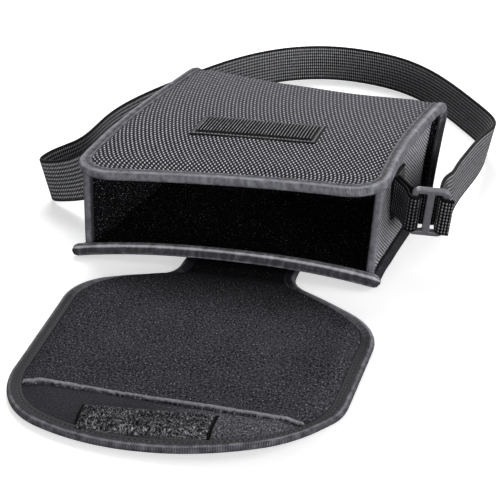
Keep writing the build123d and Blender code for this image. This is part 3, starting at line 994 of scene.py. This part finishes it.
def stitch_row(name, line, normal, pitch, length, radius, sink=0.05):
    """Capsules along a line of points: centre + along x length + side and up x radius."""
    run = distances(line)
    where = np.arange(pitch / 2, run[-1], pitch)
    centre = at(line, where)
    tangent = unit(at(line, where + 0.3) - at(line, where - 0.3))
    up = unit(read(normal, run, where))
    side = unit(np.cross(up, tangent))
    up = np.cross(tangent, side)
    angle = np.linspace(0, 2 * math.pi, 6, endpoint=False)
    along = np.array([-0.5, -0.32, 0.32, 0.5]) * length
    thick = np.array([0.35, 1.0, 1.0, 0.35]) * radius
    ring = (
        centre[:, None, None]
        + tangent[:, None, None] * along[None, :, None, None]
        + side[:, None, None] * (thick[:, None] * np.cos(angle))[None, ..., None]
        + up[:, None, None] * (thick[:, None] * np.sin(angle) + sink)[None, ..., None]
    )
    index = np.arange(len(where) * 24).reshape(-1, 4, 6)
    wrapped = np.concatenate([index, index[..., :1]], axis=-1)
    cells = np.moveaxis(corners_of(np.moveaxis(wrapped, 0, -1)), -1, 0).reshape(-1, 4)
    caps = np.concatenate([index[:, 0, ::-1], index[:, 3]])
    uvs = [np.zeros((len(cells), 4, 2)), np.zeros((len(caps), 6, 2))]
    return place(name, ring.reshape(-1, 3), [cells, caps], uvs)


stitch_point = int(round((band_points - 1) * (1 - stitch_inset / band)))
seam = stitch_row("edge_stitches", edge_rings[:, stitch_point], edge_normal, 3.0, 2.0, 0.2)
dress(seam, dark_thread, "binding_tape", "case")

# %% Stitches round the hook patch
border_inset = 1.1
long_run, long_still = np.linspace(-1, 1, 60), np.ones(60)
short_run, short_still = np.linspace(-1, 1, 20)[1:-1], np.ones(18)
border_x = np.r_[long_run, short_still, -long_run, -short_still] * (hook_length / 2 - border_inset)
border_v = np.r_[-long_still, short_run, long_still, -short_run] * (hook_width / 2 - border_inset)
border_run = hook_run0 + hook_width / 2 + border_v
border_line = on_front(border_x, border_run, 0.68 + 0 * border_x)
border_up = on_front(border_x, border_run, 1.68 + 0 * border_x) - border_line
border = stitch_row("hook_patch_stitches", border_line, border_up, 2.0, 1.2, 0.3)
dress(border, thread, "hook_tape", "case")
for row in (seam, border):
    print(row.name, "has", len(row.data.polygons) // stitch_faces, "stitches")

# %% [markdown]
# ## The flap
# The open flap lies lining side up: a wide padded tongue on a narrow neck. Its outline is
# symmetrical: neck, shoulders, slightly tapering sides, and a broad tip arc met by two
# rounded corners. Straight runs and tangent arcs give it from a few sizes. A curve drawn by
# hand would need more points and be less even.

# %% Flap outline
flap_origin = np.array([5.0, -8.0, 0.0])
flap_skew = math.radians(3.4)
flap_x = np.array([math.cos(flap_skew), math.sin(flap_skew), 0])
flap_y = np.array([math.sin(flap_skew), -math.cos(flap_skew), 0])  # towards the tip
flap_length, tip_radius, corner_radius = 154.0, 115.0, 42.0
neck_half, shoulder_half, tip_half, shoulder_at = 28.5, 76.0, 69.3, 33.0


def flap_outline():
    """Right half of the outline, (x, distance from the fold line), from the neck to the tip."""
    shoulder = np.array([shoulder_half, shoulder_at])
    down = unit(np.array([tip_half, flap_length]) - shoulder)
    inward = np.array([-down[1], down[0]])
    start = shoulder + inward * corner_radius
    arc_centre = np.array([0.0, flap_length - tip_radius])
    rel = start - arc_centre
    b, c = rel @ down, rel @ rel - (tip_radius - corner_radius) ** 2
    centre = start + down * (math.sqrt(b * b - c) - b)
    from_angle = math.atan2(-inward[1], -inward[0])
    to_angle = math.atan2(*(centre - arc_centre)[::-1])
    turn = np.linspace(from_angle, to_angle, 60)
    corner = centre + corner_radius * np.stack([np.cos(turn), np.sin(turn)], axis=-1)
    rest = np.linspace(to_angle, math.pi / 2, 60)[1:]
    tip = arc_centre + tip_radius * np.stack([np.cos(rest), np.sin(rest)], axis=-1)
    neck = rounded([(neck_half, -8.0), (neck_half, 6.0), shoulder, corner[0]], [19, 28])
    return evenly(np.concatenate([neck[:-1], corner, tip]), 700)


half_outline = flap_outline()
outline_inward = left_normals(half_outline)
past_shoulder = half_outline[half_outline[:, 1] > 40]


def flap_half(distance, inset):
    """Half width of the flap at a distance from the fold line, for an outline set in."""
    line = half_outline + outline_inward * inset
    return np.interp(distance, line[:, 1], line[:, 0].clip(0))


print("flap outline:", round(2 * half_outline[:, 0].max()), "x", round(half_outline[-1, 1]), "mm")

# %% [markdown]
# Open on a table, the flap isn't as it was cut. It bows to the right along its middle, its
# right tip corner is lifted, and its left shoulder is pulled nearer the neck. The function
# below bends every piece of the flap in the same way, in the flap's own x and distance v.

# %% The open flap's lie
bow_width, corner_lift, waviness = 1.3, 7.0, 0.6


def flap_point(x, v, z):
    """Flap coordinates to the drawing: powers of the share of the half width shift x and v.

    The shoulders shift by up to 6.5 mm on the left and 4 mm on the right. The tip reaches on
    by up to 2.4 mm on either side, and its right corner is cut back by 4 mm and in by 2.2 mm.
    """
    bow = bow_width * np.sin(math.pi * np.clip(v, 0, flap_length) / flap_length)
    lift = corner_lift * smooth(v, 112, 156) * np.clip((x + 60) / 130, 0, 1.2) ** 1.5
    share = x / 70
    right, left = share.clip(0, 1), share.clip(-1, 0)
    trim = 2.4 * left - 2.4 * right**2 + 6.4 * right**7
    x = x - 2.2 * right**3 * smooth(v, 104, 126)
    shoulders = np.where(x < 0, 6.5 * smooth(v, 2, 20), 4.0 * smooth(v, 8, 30)) * smooth(v, 80, 50)
    v = v + share * shoulders - trim * smooth(v, 100, 150)
    lift = lift + waviness * smooth(v, 20, 60) * np.sin(x / 21 + 1.0) * np.sin(v / 33)
    x, v, z = np.broadcast_arrays(x + bow, v, z + lift.clip(0))
    return flap_origin + flap_x * x[..., None] + flap_y * v[..., None] + z[..., None] * (0, 0, 1.0)


# %% Heights over the flap
flap_top, neck_thick = 4.5, 2.0
neck_end = 6.0  # the neck's cloth reaches this far past the first fold
edge_press = 2.0  # how far the tape has pressed the padding down


def flap_rise(v):
    """Height of the padded flap's upper face: the thin neck, then a smooth step up."""
    return neck_thick - 0.6 * smooth(v, -6, -18) + (flap_top - neck_thick) * smooth(v, -1, 13)


def pressed(v):
    """How far the tape presses the padding down: edge_press, and nothing on the bare neck."""
    return edge_press * ((flap_rise(v) - neck_thick) / (flap_top - neck_thick)).clip(0)


def flap_face(x, v):
    """Height of the upper face, pressed down near the outline.

    The distance from the outline is ab / hypot(a, b), for the ways a and b to it sideways
    and onwards.
    """
    sideways = (flap_half(v, 0) - np.abs(x)).clip(0.01)
    onwards = (np.interp(np.abs(x), past_shoulder[::-1, 0], past_shoulder[::-1, 1]) - v).clip(0.01)
    inside = sideways * onwards / np.hypot(sideways, onwards)
    return flap_rise(v) - pressed(v) * smooth(inside, 12, 5)


def fleece_top(x, v, to_end=99.0):
    """The raised fleece: flat, rolled over at its sides and at its free edge."""
    edge = flap_half(v, band - 0.2) - np.abs(x)
    side = np.sqrt(1 - (1 - np.clip(edge / 1.5, 0, 1)) ** 2)
    tip = np.sqrt(1 - (1 - np.clip(to_end / 1.2, 0, 1)) ** 2)
    roll = 0.35 * np.exp(-(((to_end - 1.6) / 1.7) ** 2))
    dent = 0.25 * np.sin(x / 13) * np.sin(v / 17 + 0.6)
    depth = 0.5 + 1.0 * smooth(v, 0, 18) + roll + dent * smooth(v, 20, 40)
    return flap_face(x, v) + 0.1 + depth * np.minimum(side, tip)


# %% [markdown]
# The flap is three closed sheets on each other: outer cloth with the foam, a flat lining,
# and a fleece panel that stops short of the tip. Each runs uncut across the second fold.

# %% Flap sheets
past_tip = 999.0  # an end that lies past the tip, for the sheets that cover the whole flap
tip_part = 45.0


def flap_rows(first, last, inset):
    """Distances of the grid's rows, closing up towards the tip as a cosine does."""
    if last < flap_length:
        return np.linspace(first, last, 110)
    end = (half_outline + outline_inward * inset)[-1, 1] - 0.02
    closing = end - tip_part * np.cos(np.linspace(0, math.pi / 2, 41)[1:])
    return np.r_[np.linspace(first, end - tip_part, 70), closing]


def flap_sheet(name, last, inset, low, high, columns=81, slant=0.0):
    """Closed sheet of the flap from the neck on, low and high as heights over the floor.

    A slant moves the rows on by slant x (1 + share of the half width), growing from 70 mm.
    """
    v = flap_rows(neck_end, last, inset)
    share = np.linspace(-1, 1, columns)
    moved = v[:, None] + slant * (1 + share[None]) * smooth(v, 70, last)[:, None]
    x = flap_half(moved, inset) * share[None]
    uv = np.stack(np.broadcast_arrays(x, v[:, None]), axis=-1)
    upper = flap_point(x, moved, high(x, moved, last - v[:, None]))
    return padded_sheet(name, upper, flap_point(x, moved, low(x, moved)), uv)


outer = flap_sheet(
    "flap_shell", past_tip, 0.7, lambda x, v: 0.25 + 0 * x, lambda x, v, to_end: flap_face(x, v) - 1.0,
)
base = flap_sheet(
    "flap_base_lining", past_tip, 0.75,
    lambda x, v: flap_face(x, v) - 0.95, lambda x, v, to_end: flap_face(x, v),
)
top_fleece = flap_sheet("flap_fleece_panel", panel_end, band - 0.3, flap_face, fleece_top, 121, slant=3.2)
print("flap:", len(outer.data.polygons), "faces of cloth,", len(top_fleece.data.polygons), "of fleece")


def blend_round(piece):
    """Bakes the piece's transform into its mesh."""
    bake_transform(piece)


shell_nodes = ["flap_cover_shell", "flap_cover_foam", "flap_tongue_shell", "flap_tongue_foam"]
for piece, material, slot, nodes in (
    (outer, outer_cloth, "woven_shell", shell_nodes),
    (base, tip_fleece, "fleece", ["flap_cover_lining", "flap_tongue_lining"]),
    (top_fleece, flap_hem_fleece, "fleece", ["flap_cover_fleece", "flap_tongue_fleece"]),
):
    dress(piece, material, slot, None, nodes)
    blend_round(piece)

# %% [markdown]
# One tape runs round the whole outline, from under the lip on one side to under the lip on
# the other. Its section thins with the padding, down to the bare neck. It is cut into three
# pieces: one at each side of the neck, and the rest.

# %% Flap tape's rings
right_side = evenly(half_outline, 240)
flap_edge = np.concatenate([right_side * (-1, 1), right_side[::-1][1:]])
under_lip = np.array([0, 8.0])
flap_edge = np.concatenate([flap_edge[:1] - under_lip, flap_edge, flap_edge[-1:] - under_lip])
flap_edge = evenly(flap_edge, 520)
flap_normals = unit(soften(left_normals(flap_edge), 2))
edge_v = flap_edge[:, 1]
thin_tape, thick_tape = tape_section(0.9), tape_section(1.8)
sections = thin_tape + (thick_tape - thin_tape) * (pressed(edge_v) / edge_press)[:, None, None]
ring_at = flap_edge[:, None] + flap_normals[:, None] * sections[..., :1]
ring_z = (flap_rise(edge_v) - pressed(edge_v))[:, None] + sections[..., 1]
flap_rings = flap_point(ring_at[..., 0], ring_at[..., 1], ring_z)
flap_rings[..., 2] = flap_rings[..., 2].clip(0.01)  # on the floor, not in it
print("flap tape:", round(distances(flap_edge)[-1]), "mm")

# %% Flap tape and its stitches
past_neck = np.flatnonzero(edge_v > neck_end)
first, last = past_neck[0], past_neck[-1]
binding_nodes = ["flap_cover_binding_left", "flap_cover_binding_right", "flap_tongue_binding"]
for name, piece_rings, nodes in (
    ("flap_neck_tape_left", flap_rings[:first + 1], []),
    ("flap_tape", flap_rings[first:last + 1], binding_nodes),
    ("flap_neck_tape_right", flap_rings[last:], []),
):
    piece = swept(name, piece_rings, tape_across)
    dress(piece, flap_binding, "binding_tape", None, nodes)
    if nodes:
        blend_round(piece)
    else:
        blend_round(piece)
seam_part = flap_rings[first:last + 1, stitch_point]
straight_up = np.tile((0, 0, 1.0), (len(seam_part), 1))
flap_stitch = stitch_row("flap_stitches", seam_part, straight_up, 2.4, 1.5, 0.2)
dress(flap_stitch, dark_thread, "binding_tape", None)
blend_round(flap_stitch)
print(flap_stitch.name, "has", len(flap_stitch.data.polygons) // stitch_faces, "stitches")

# %% [markdown]
# The neck is the only unpadded part: it comes out from under the lip, crosses the first
# fold and thickens into the padded flap. It is one sheet of fleece on its own.

# %% Neck
neck_v = np.linspace(-18, neck_end, 50)
neck_x = flap_half(neck_v, band - 0.3)[:, None] * np.linspace(-1, 1, 61)[None]
neck_x, neck_v = np.broadcast_arrays(neck_x, neck_v[:, None])
neck = padded_sheet(
    "flap_neck_cloth",
    flap_point(neck_x, neck_v, fleece_top(neck_x, neck_v)),
    flap_point(neck_x, neck_v, 0.05 + 0 * neck_x),
    np.stack([neck_x, neck_v], axis=-1),
)
dress(neck, flap_fleece, "fleece", None, ["flap_neck", "flap_root"])
blend_round(neck)
print("neck:", round(2 * neck_x.max()), "mm wide")

# %% [markdown]
# ## Loop patch
# The matching half of the closure: a fuzzy strip of loop tape with a sewn border. Its pile
# is a random field, smoothed a little so that it clumps, with a fixed seed. A displacement
# texture would do the same, but the field stays the same in every tool that reads the mesh.

# %% Loop patch
loop_middle, loop_shift = 138.8, 2.8
loop_x = np.linspace(-loop_length / 2, loop_length / 2, 230)
loop_v = np.linspace(-loop_width / 2, loop_width / 2, 68)
lx, lv = np.meshgrid(loop_x, loop_v, indexing="ij")
pile = np.random.default_rng(7).random(lx.shape)
pile = (pile + np.roll(pile, 1, 0) + np.roll(pile, 1, 1) + np.roll(np.roll(pile, 1, 0), 1, 1)) / 4
loop_in = np.minimum(loop_length / 2 - np.abs(lx), loop_width / 2 - np.abs(lv))
loop_height = 0.5 * smooth(loop_in, 0, 0.4) + smooth(loop_in, 1.6, 2.6) * (0.5 + 1.6 * (pile - 0.25))
loop_turn = math.radians(4.0)
px = lx * math.cos(loop_turn) - lv * math.sin(loop_turn) - loop_shift
pv = loop_middle - (lx * math.sin(loop_turn) + lv * math.cos(loop_turn))
loop = padded_sheet(
    "loop_patch_tape",
    flap_point(px, pv, flap_face(px, pv) + loop_height),
    flap_point(px, pv, flap_face(px, pv) - 0.2),
    np.stack([lx, lv], axis=-1),
    80,
)
dress(loop, loops, "loop_tape", "flap_tongue", ["loop_patch"])
print("loop patch:", loop_length, "x", loop_width, "mm")

# %% [markdown]
# ## Shoulder strap
# One length of webbing standing on edge. Its middle line and its upper edge are cubic
# splines through a few points, so it turns and leans smoothly, where a bevelled curve would
# twist as it likes. Its section is a thin rectangle whose faces are ribbed lengthwise.

# %% Smooth curves
def smooth_curve(points, first, last, count):
    """Cubic spline through points by chord length, with given end directions, evenly sampled."""
    p = np.asarray(points, float)
    h = np.linalg.norm(np.diff(p, axis=0), axis=1)
    n = len(p)
    matrix, right = np.zeros((n, n)), np.zeros((n, 3))
    matrix[0, 0] = matrix[-1, -1] = 1
    right[0], right[-1] = unit(np.array(first, float)), unit(np.array(last, float))
    i = np.arange(1, n - 1)
    matrix[i, i - 1], matrix[i, i], matrix[i, i + 1] = h[1:], 2 * (h[:-1] + h[1:]), h[:-1]
    longer = h[1:, None] / h[:-1, None]
    right[1:-1] = 3 * (longer * (p[1:-1] - p[:-2]) + (p[2:] - p[1:-1]) / longer)
    slope = np.linalg.solve(matrix, right)
    knots = np.r_[0, h.cumsum()]
    t = np.linspace(0, knots[-1], count)
    k = np.clip(np.searchsorted(knots, t, side="right") - 1, 0, n - 2)
    s = ((t - knots[k]) / h[k])[:, None]
    hk = h[k][:, None]
    return (
        (2 * s**3 - 3 * s**2 + 1) * p[k] + (s**3 - 2 * s**2 + s) * hk * slope[k]
        + (-2 * s**3 + 3 * s**2) * p[k + 1] + (s**3 - s**2) * hk * slope[k + 1]
    )


# %% Webbing
webbing_width, webbing_thick, webbing_points = 25.0, 1.6, 49


def webbing_section():
    """Ring round the webbing, (across, out of its face): thirteen shallow ribs on each face."""
    a = np.linspace(-1, 1, webbing_points)
    w = a * webbing_width / 2
    edge = np.sqrt(np.clip(1 - np.abs(a) ** 24, 0, 1))
    t = webbing_thick / 2 * (0.35 + 0.65 * edge) + 0.04 * np.cos(2 * math.pi * w / 1.92) * edge
    return np.concatenate([np.stack([w, t], axis=-1), np.stack([w, -t], axis=-1)[::-1]])


one_face = np.linspace(0, webbing_width, webbing_points)
webbing_across = np.r_[one_face, webbing_width + one_face, 2 * webbing_width]
print("webbing section:", len(webbing_section()), "points")


def webbing_piece(name, line, up):
    """Webbing along a line, standing across it in the up direction."""
    tangent = unit(np.gradient(line, axis=0))
    up = unit(up - tangent * (up * tangent).sum(-1, keepdims=True))
    out = np.cross(tangent, up)
    ring = webbing_section()
    rings = line[:, None] + up[:, None] * ring[None, :, :1] + out[:, None] * ring[None, :, 1:]
    return swept(name, rings, webbing_across)


# %% [markdown]
# The buckle keeps the CAD's own mesh, because it is hard and all the webbing was threaded
# round it: the strap comes up through its outer slot and turns round the outer bar. Three
# directions describe how it leans: along its bars, along the strap's run, and out of its face.

# %% Buckle's place
anchor = np.array([0, 33.0, 31.8])
bars = unit(np.array([0.125, -0.35, 0.928]))
run = np.array([0.987, 0.163, 0.0])
run = unit(run - bars * (run @ bars))
face = np.cross(run, bars)
buckle_centre = np.array([half + 17.5, anchor[1] - 2.0, anchor[2]])
bar_pitch, turn_radius = 7.8, 2.2
turn_middle = turn_radius + webbing_thick / 2  # from a bar's middle to the webbing's
slot_middle = bar_pitch - turn_middle
print("buckle's middle:", np.round(buckle_centre, 1), "in the drawing")


def at_buckle(along, out):
    """Points beside the buckle's centre: along the run and out of its face, in millimetres."""
    return buckle_centre + run * np.reshape(along, (-1, 1)) + face * np.reshape(out, (-1, 1))


# %% Strap route
# The middle line's x, y and z, then how far it leans in x and y for each millimetre up.
route = np.array([
    (-97, 40.5, 24, -0.1, 0), (-116.5, 48.5, 15.6, -0.3, 0), (-127.4, 55, 12.7, -0.36, 0.1),
    (-127.2, 68, 12.7, -0.25, 0.1), (-122, 86, 12.7, -0.1, 0), (-121.5, 105, 12.7, 0, 0),
    (-122.5, 128, 12.7, 0, 0), (-121, 152, 12.7, 0, 0), (-115.5, 178, 12.7, 0, 0),
    (-106, 208, 12.7, 0, 0), (-94, 242, 12.7, 0, 0), (-75, 279, 12.7, 0, 0),
    (-50, 305, 12.7, 0, 0), (-24, 315, 12.7, 0, 0), (0, 313.5, 12.7, 0, 0),
    (24.5, 304.5, 12.7, 0, 0), (46, 288, 12.7, 0, 0), (68, 261, 12.7, 0, 0),
    (88, 230, 12.7, 0, 0), (101.5, 205, 12.9, 0.05, 0), (106, 184, 14, 0.2, 0),
    (105, 165, 15.6, 0.1, 0), (103, 144, 17.8, 0, 0), (101, 112, 22, 0, 0.05),
    (100, 80, 26.5, 0, 0.15), (99.5, 60, 30, 0.02, 0.15),
])
left_root = (-80.0, 33, anchor[2])  # on the sewn end's face, where the slump has moved it
middle_points = np.concatenate([[left_root], route[:, :3], at_buckle(slot_middle, -3.1)])
leans = np.concatenate([[(0, 0)], route[:, 3:], [bars[:2] / bars[2]]])
upper_points = middle_points + unit(np.c_[leans, np.ones(len(leans))]) * (webbing_width / 2)
leaving = (-1, 0.1, 0)  # the direction in which the strap leaves the left gusset
strap_line = smooth_curve(middle_points, leaving, face, 420)
strap_up = smooth_curve(upper_points, leaving, face, 420) - strap_line
print("strap route:", len(middle_points), "points")

# %% Strap
around = np.linspace(math.pi, math.pi / 2, 14)
strap_end = np.concatenate([
    at_buckle([slot_middle] * 2, [-1.8, -0.6]),
    at_buckle(bar_pitch + turn_middle * np.cos(around), turn_middle * np.sin(around)),
    at_buckle(bar_pitch + np.array([1.2, 2.4, 3.6]), [turn_middle] * 3),
])
strap_line = np.concatenate([strap_line, strap_end])
strap_up = np.concatenate([strap_up, np.tile(bars, (len(strap_end), 1))])
strap = webbing_piece("shoulder_strap", strap_line, strap_up)
dress(strap, webbing, "webbing", "strap", ["strap_webbing"])
print("strap:", round(distances(strap_line)[-1]), "mm of webbing")

# %% The strap's tail, behind the buckle's middle bar
tail_line = at_buckle(np.linspace(-4.6, 3.9, 12), [-3.0] * 12) + bars * 0.4
tail_piece = webbing_piece("strap_tail", tail_line, np.tile(bars, (12, 1)))
dress(tail_piece, shaded_webbing, "webbing", "strap")
print("tail:", round(distances(tail_line)[-1], 1), "mm")

# %% [markdown]
# A short tab of webbing holds the buckle: two legs run from the gusset to the buckle's
# inner bar and meet round it. It is fixed at one end and turns with the buckle at the
# other; here it rides on no body.

# %% Strap tab
legs_turn = math.radians(131)  # the legs leave the bar this far round from the run
leg_dir = np.array([math.cos(legs_turn), -math.sin(legs_turn)])
leg_side = np.array([-leg_dir[1], leg_dir[0]])
legs = np.array([[14.6, 1.0], [5.5, 1.0]])  # along and beside the leg: its far and its near end
arc = np.linspace(math.radians(128), math.radians(-128), 34)[:, None]
round_bar = turn_middle * (-leg_dir * np.cos(arc) + leg_side * np.sin(arc))
near_leg = leg_dir * legs[:, :1] + leg_side * legs[:, 1:]
far_leg = (leg_dir * legs[:, :1] - leg_side * legs[:, 1:])[::-1]
tab_line = np.concatenate([near_leg, round_bar, far_leg]) - (bar_pitch, 0)
tab_line = soften(evenly(tab_line, 110), 3)
tab = webbing_piece("strap_tab_webbing", at_buckle(*tab_line.T), np.tile(bars, (110, 1)))
dress(tab, shaded_webbing, "webbing", None, ["strap_tab"])
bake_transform(tab)
print("strap tab:", round(distances(tab_line)[-1]), "mm of webbing")

# %% Sewn ends on the gussets
sewn_to = 63  # both ends reach this far into the case


def sewn_end(name, side, solid, first):
    """Webbing lying flat on a gusset, ribbed along its length, from first to sewn_to."""
    ring = webbing_section()
    yy, across = np.meshgrid(np.linspace(first, sewn_to, 60), ring[:, 0], indexing="ij")
    zz = anchor[2] + across
    out = side * (gusset_x + webbing_thick / 2 - gusset_sag(yy, zz, side) + ring[:, 1])
    piece = swept(name, slump(np.stack([out, yy, zz], axis=-1)), webbing_across)
    dress(piece, shaded_webbing, "webbing", "case", [solid])
    print(name, "is", sewn_to - first, "mm long")


sewn_end("strap_root_left", -1, "strap_end_left", 25)
sewn_end("strap_root_right", 1, "strap_tab_root", 42)

# %% Buckle
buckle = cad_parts["tri_glide"]
buckle.data.materials.clear()
buckle.data.materials.append(acetal)
print("buckle:", len(buckle.data.polygons), "faces, as the CAD made them")

# %% [markdown]
# ## Light, floor and camera
# A pale floor, a broad lamp above and behind, and three soft ones lower down light the case
# as in a product picture. The world is white to the camera and to reflections, and softer
# as a lamp. The floor glows a little to the camera only, so it comes out white and still
# keeps the case's shadow.

# %% Floor and world
floor = bpy.data.objects.new("floor", bpy.data.meshes.new("floor"))
floor_half, under = 6.0, -0.0001
square = [(x * floor_half, y * floor_half, under) for x, y in ((-1, -1), (1, -1), (1, 1), (-1, 1))]
floor.data.from_pydata(square, [], [(0, 1, 2, 3)])
bpy.context.scene.collection.objects.link(floor)
paper, shader, node = start_finish("white paper, matt", 0.9, 0.1)
looked_at = node("LightPath", out="Is Camera Ray")
feed(shader, "Base Color", node("Mix", looked_at, colour("6a6a6a"), colour("f4f4f4"), data_type="RGBA"))
shader.inputs["Emission Color"].default_value = (1, 1, 1, 1)
feed(shader, "Emission Strength", node("Math", looked_at, 0.5, operation="MULTIPLY"))
floor.data.materials.append(paper)

world_light = 0.2
world = bpy.data.worlds.new("studio")
bpy.context.scene.world = world
world.use_nodes = True
background = world.node_tree.nodes["Background"]
background.inputs["Color"].default_value = (1, 1, 1, 1)
node = node_adder(world.node_tree)
seen = 0.0
for ray in ("Is Camera Ray", "Is Transmission Ray", "Is Glossy Ray"):
    seen = node("Math", node("LightPath", out=ray), seen, operation="MAXIMUM")
feed(background, "Strength", node("MapRange", seen, 0.0, 1.0, world_light, 1.0))
print("floor:", 2 * floor_half, "m wide, the world lights at", world_light)


# %% Lamps
def aim(thing, place_at, back):
    """Puts a lamp or camera at a point, turned to look against the back direction."""
    bpy.context.scene.collection.objects.link(thing)
    thing.location = place_at
    thing.rotation_mode = "QUATERNION"
    thing.rotation_quaternion = Vector(-back).to_track_quat("-Z", "Y")


def lamp(name, place_at, target, size_m, watts):
    """Square area lamp at a point, turned to face another."""
    data = bpy.data.lights.new(name, "AREA")
    data.size, data.energy = size_m, watts
    aim(bpy.data.objects.new(name, data), place_at, unit(np.array(place_at, float) - target))


lamp("back softbox", (-0.45, 1.0, 1.15), (0, 0, 0), 0.8, 19)
lamp("right softbox", (1.25, 0.2, 0.55), (0, 0, 0), 0.7, 9)
lamp("front card", (-0.2, -1.5, 0.16), (0, 0, 0.03), 0.7, 12)
lamp("right card", (1.0, -0.9, 0.12), (0.08, 0, 0.03), 0.6, 14)
print("lamps:", len(bpy.data.lights))

# %% Camera
azimuth, elevation, distance = math.radians(17), math.radians(26), 0.620
sideways, away = math.sin(azimuth), math.cos(azimuth)
back = np.array([sideways * math.cos(elevation), -away * math.cos(elevation), math.sin(elevation)])
lens = bpy.data.cameras.new("camera")
lens.lens, lens.sensor_width = 89.1, 36.0
lens.clip_start, lens.clip_end = 0.01, 50
camera = bpy.data.objects.new("camera", lens)
aim(camera, to_row((10.06, 0, 13.19)) + back * distance, back)
bpy.context.scene.camera = camera
bpy.context.scene.view_settings.view_transform = "Standard"
print("camera:", distance, "m away, lens", round(lens.lens, 1), "mm")
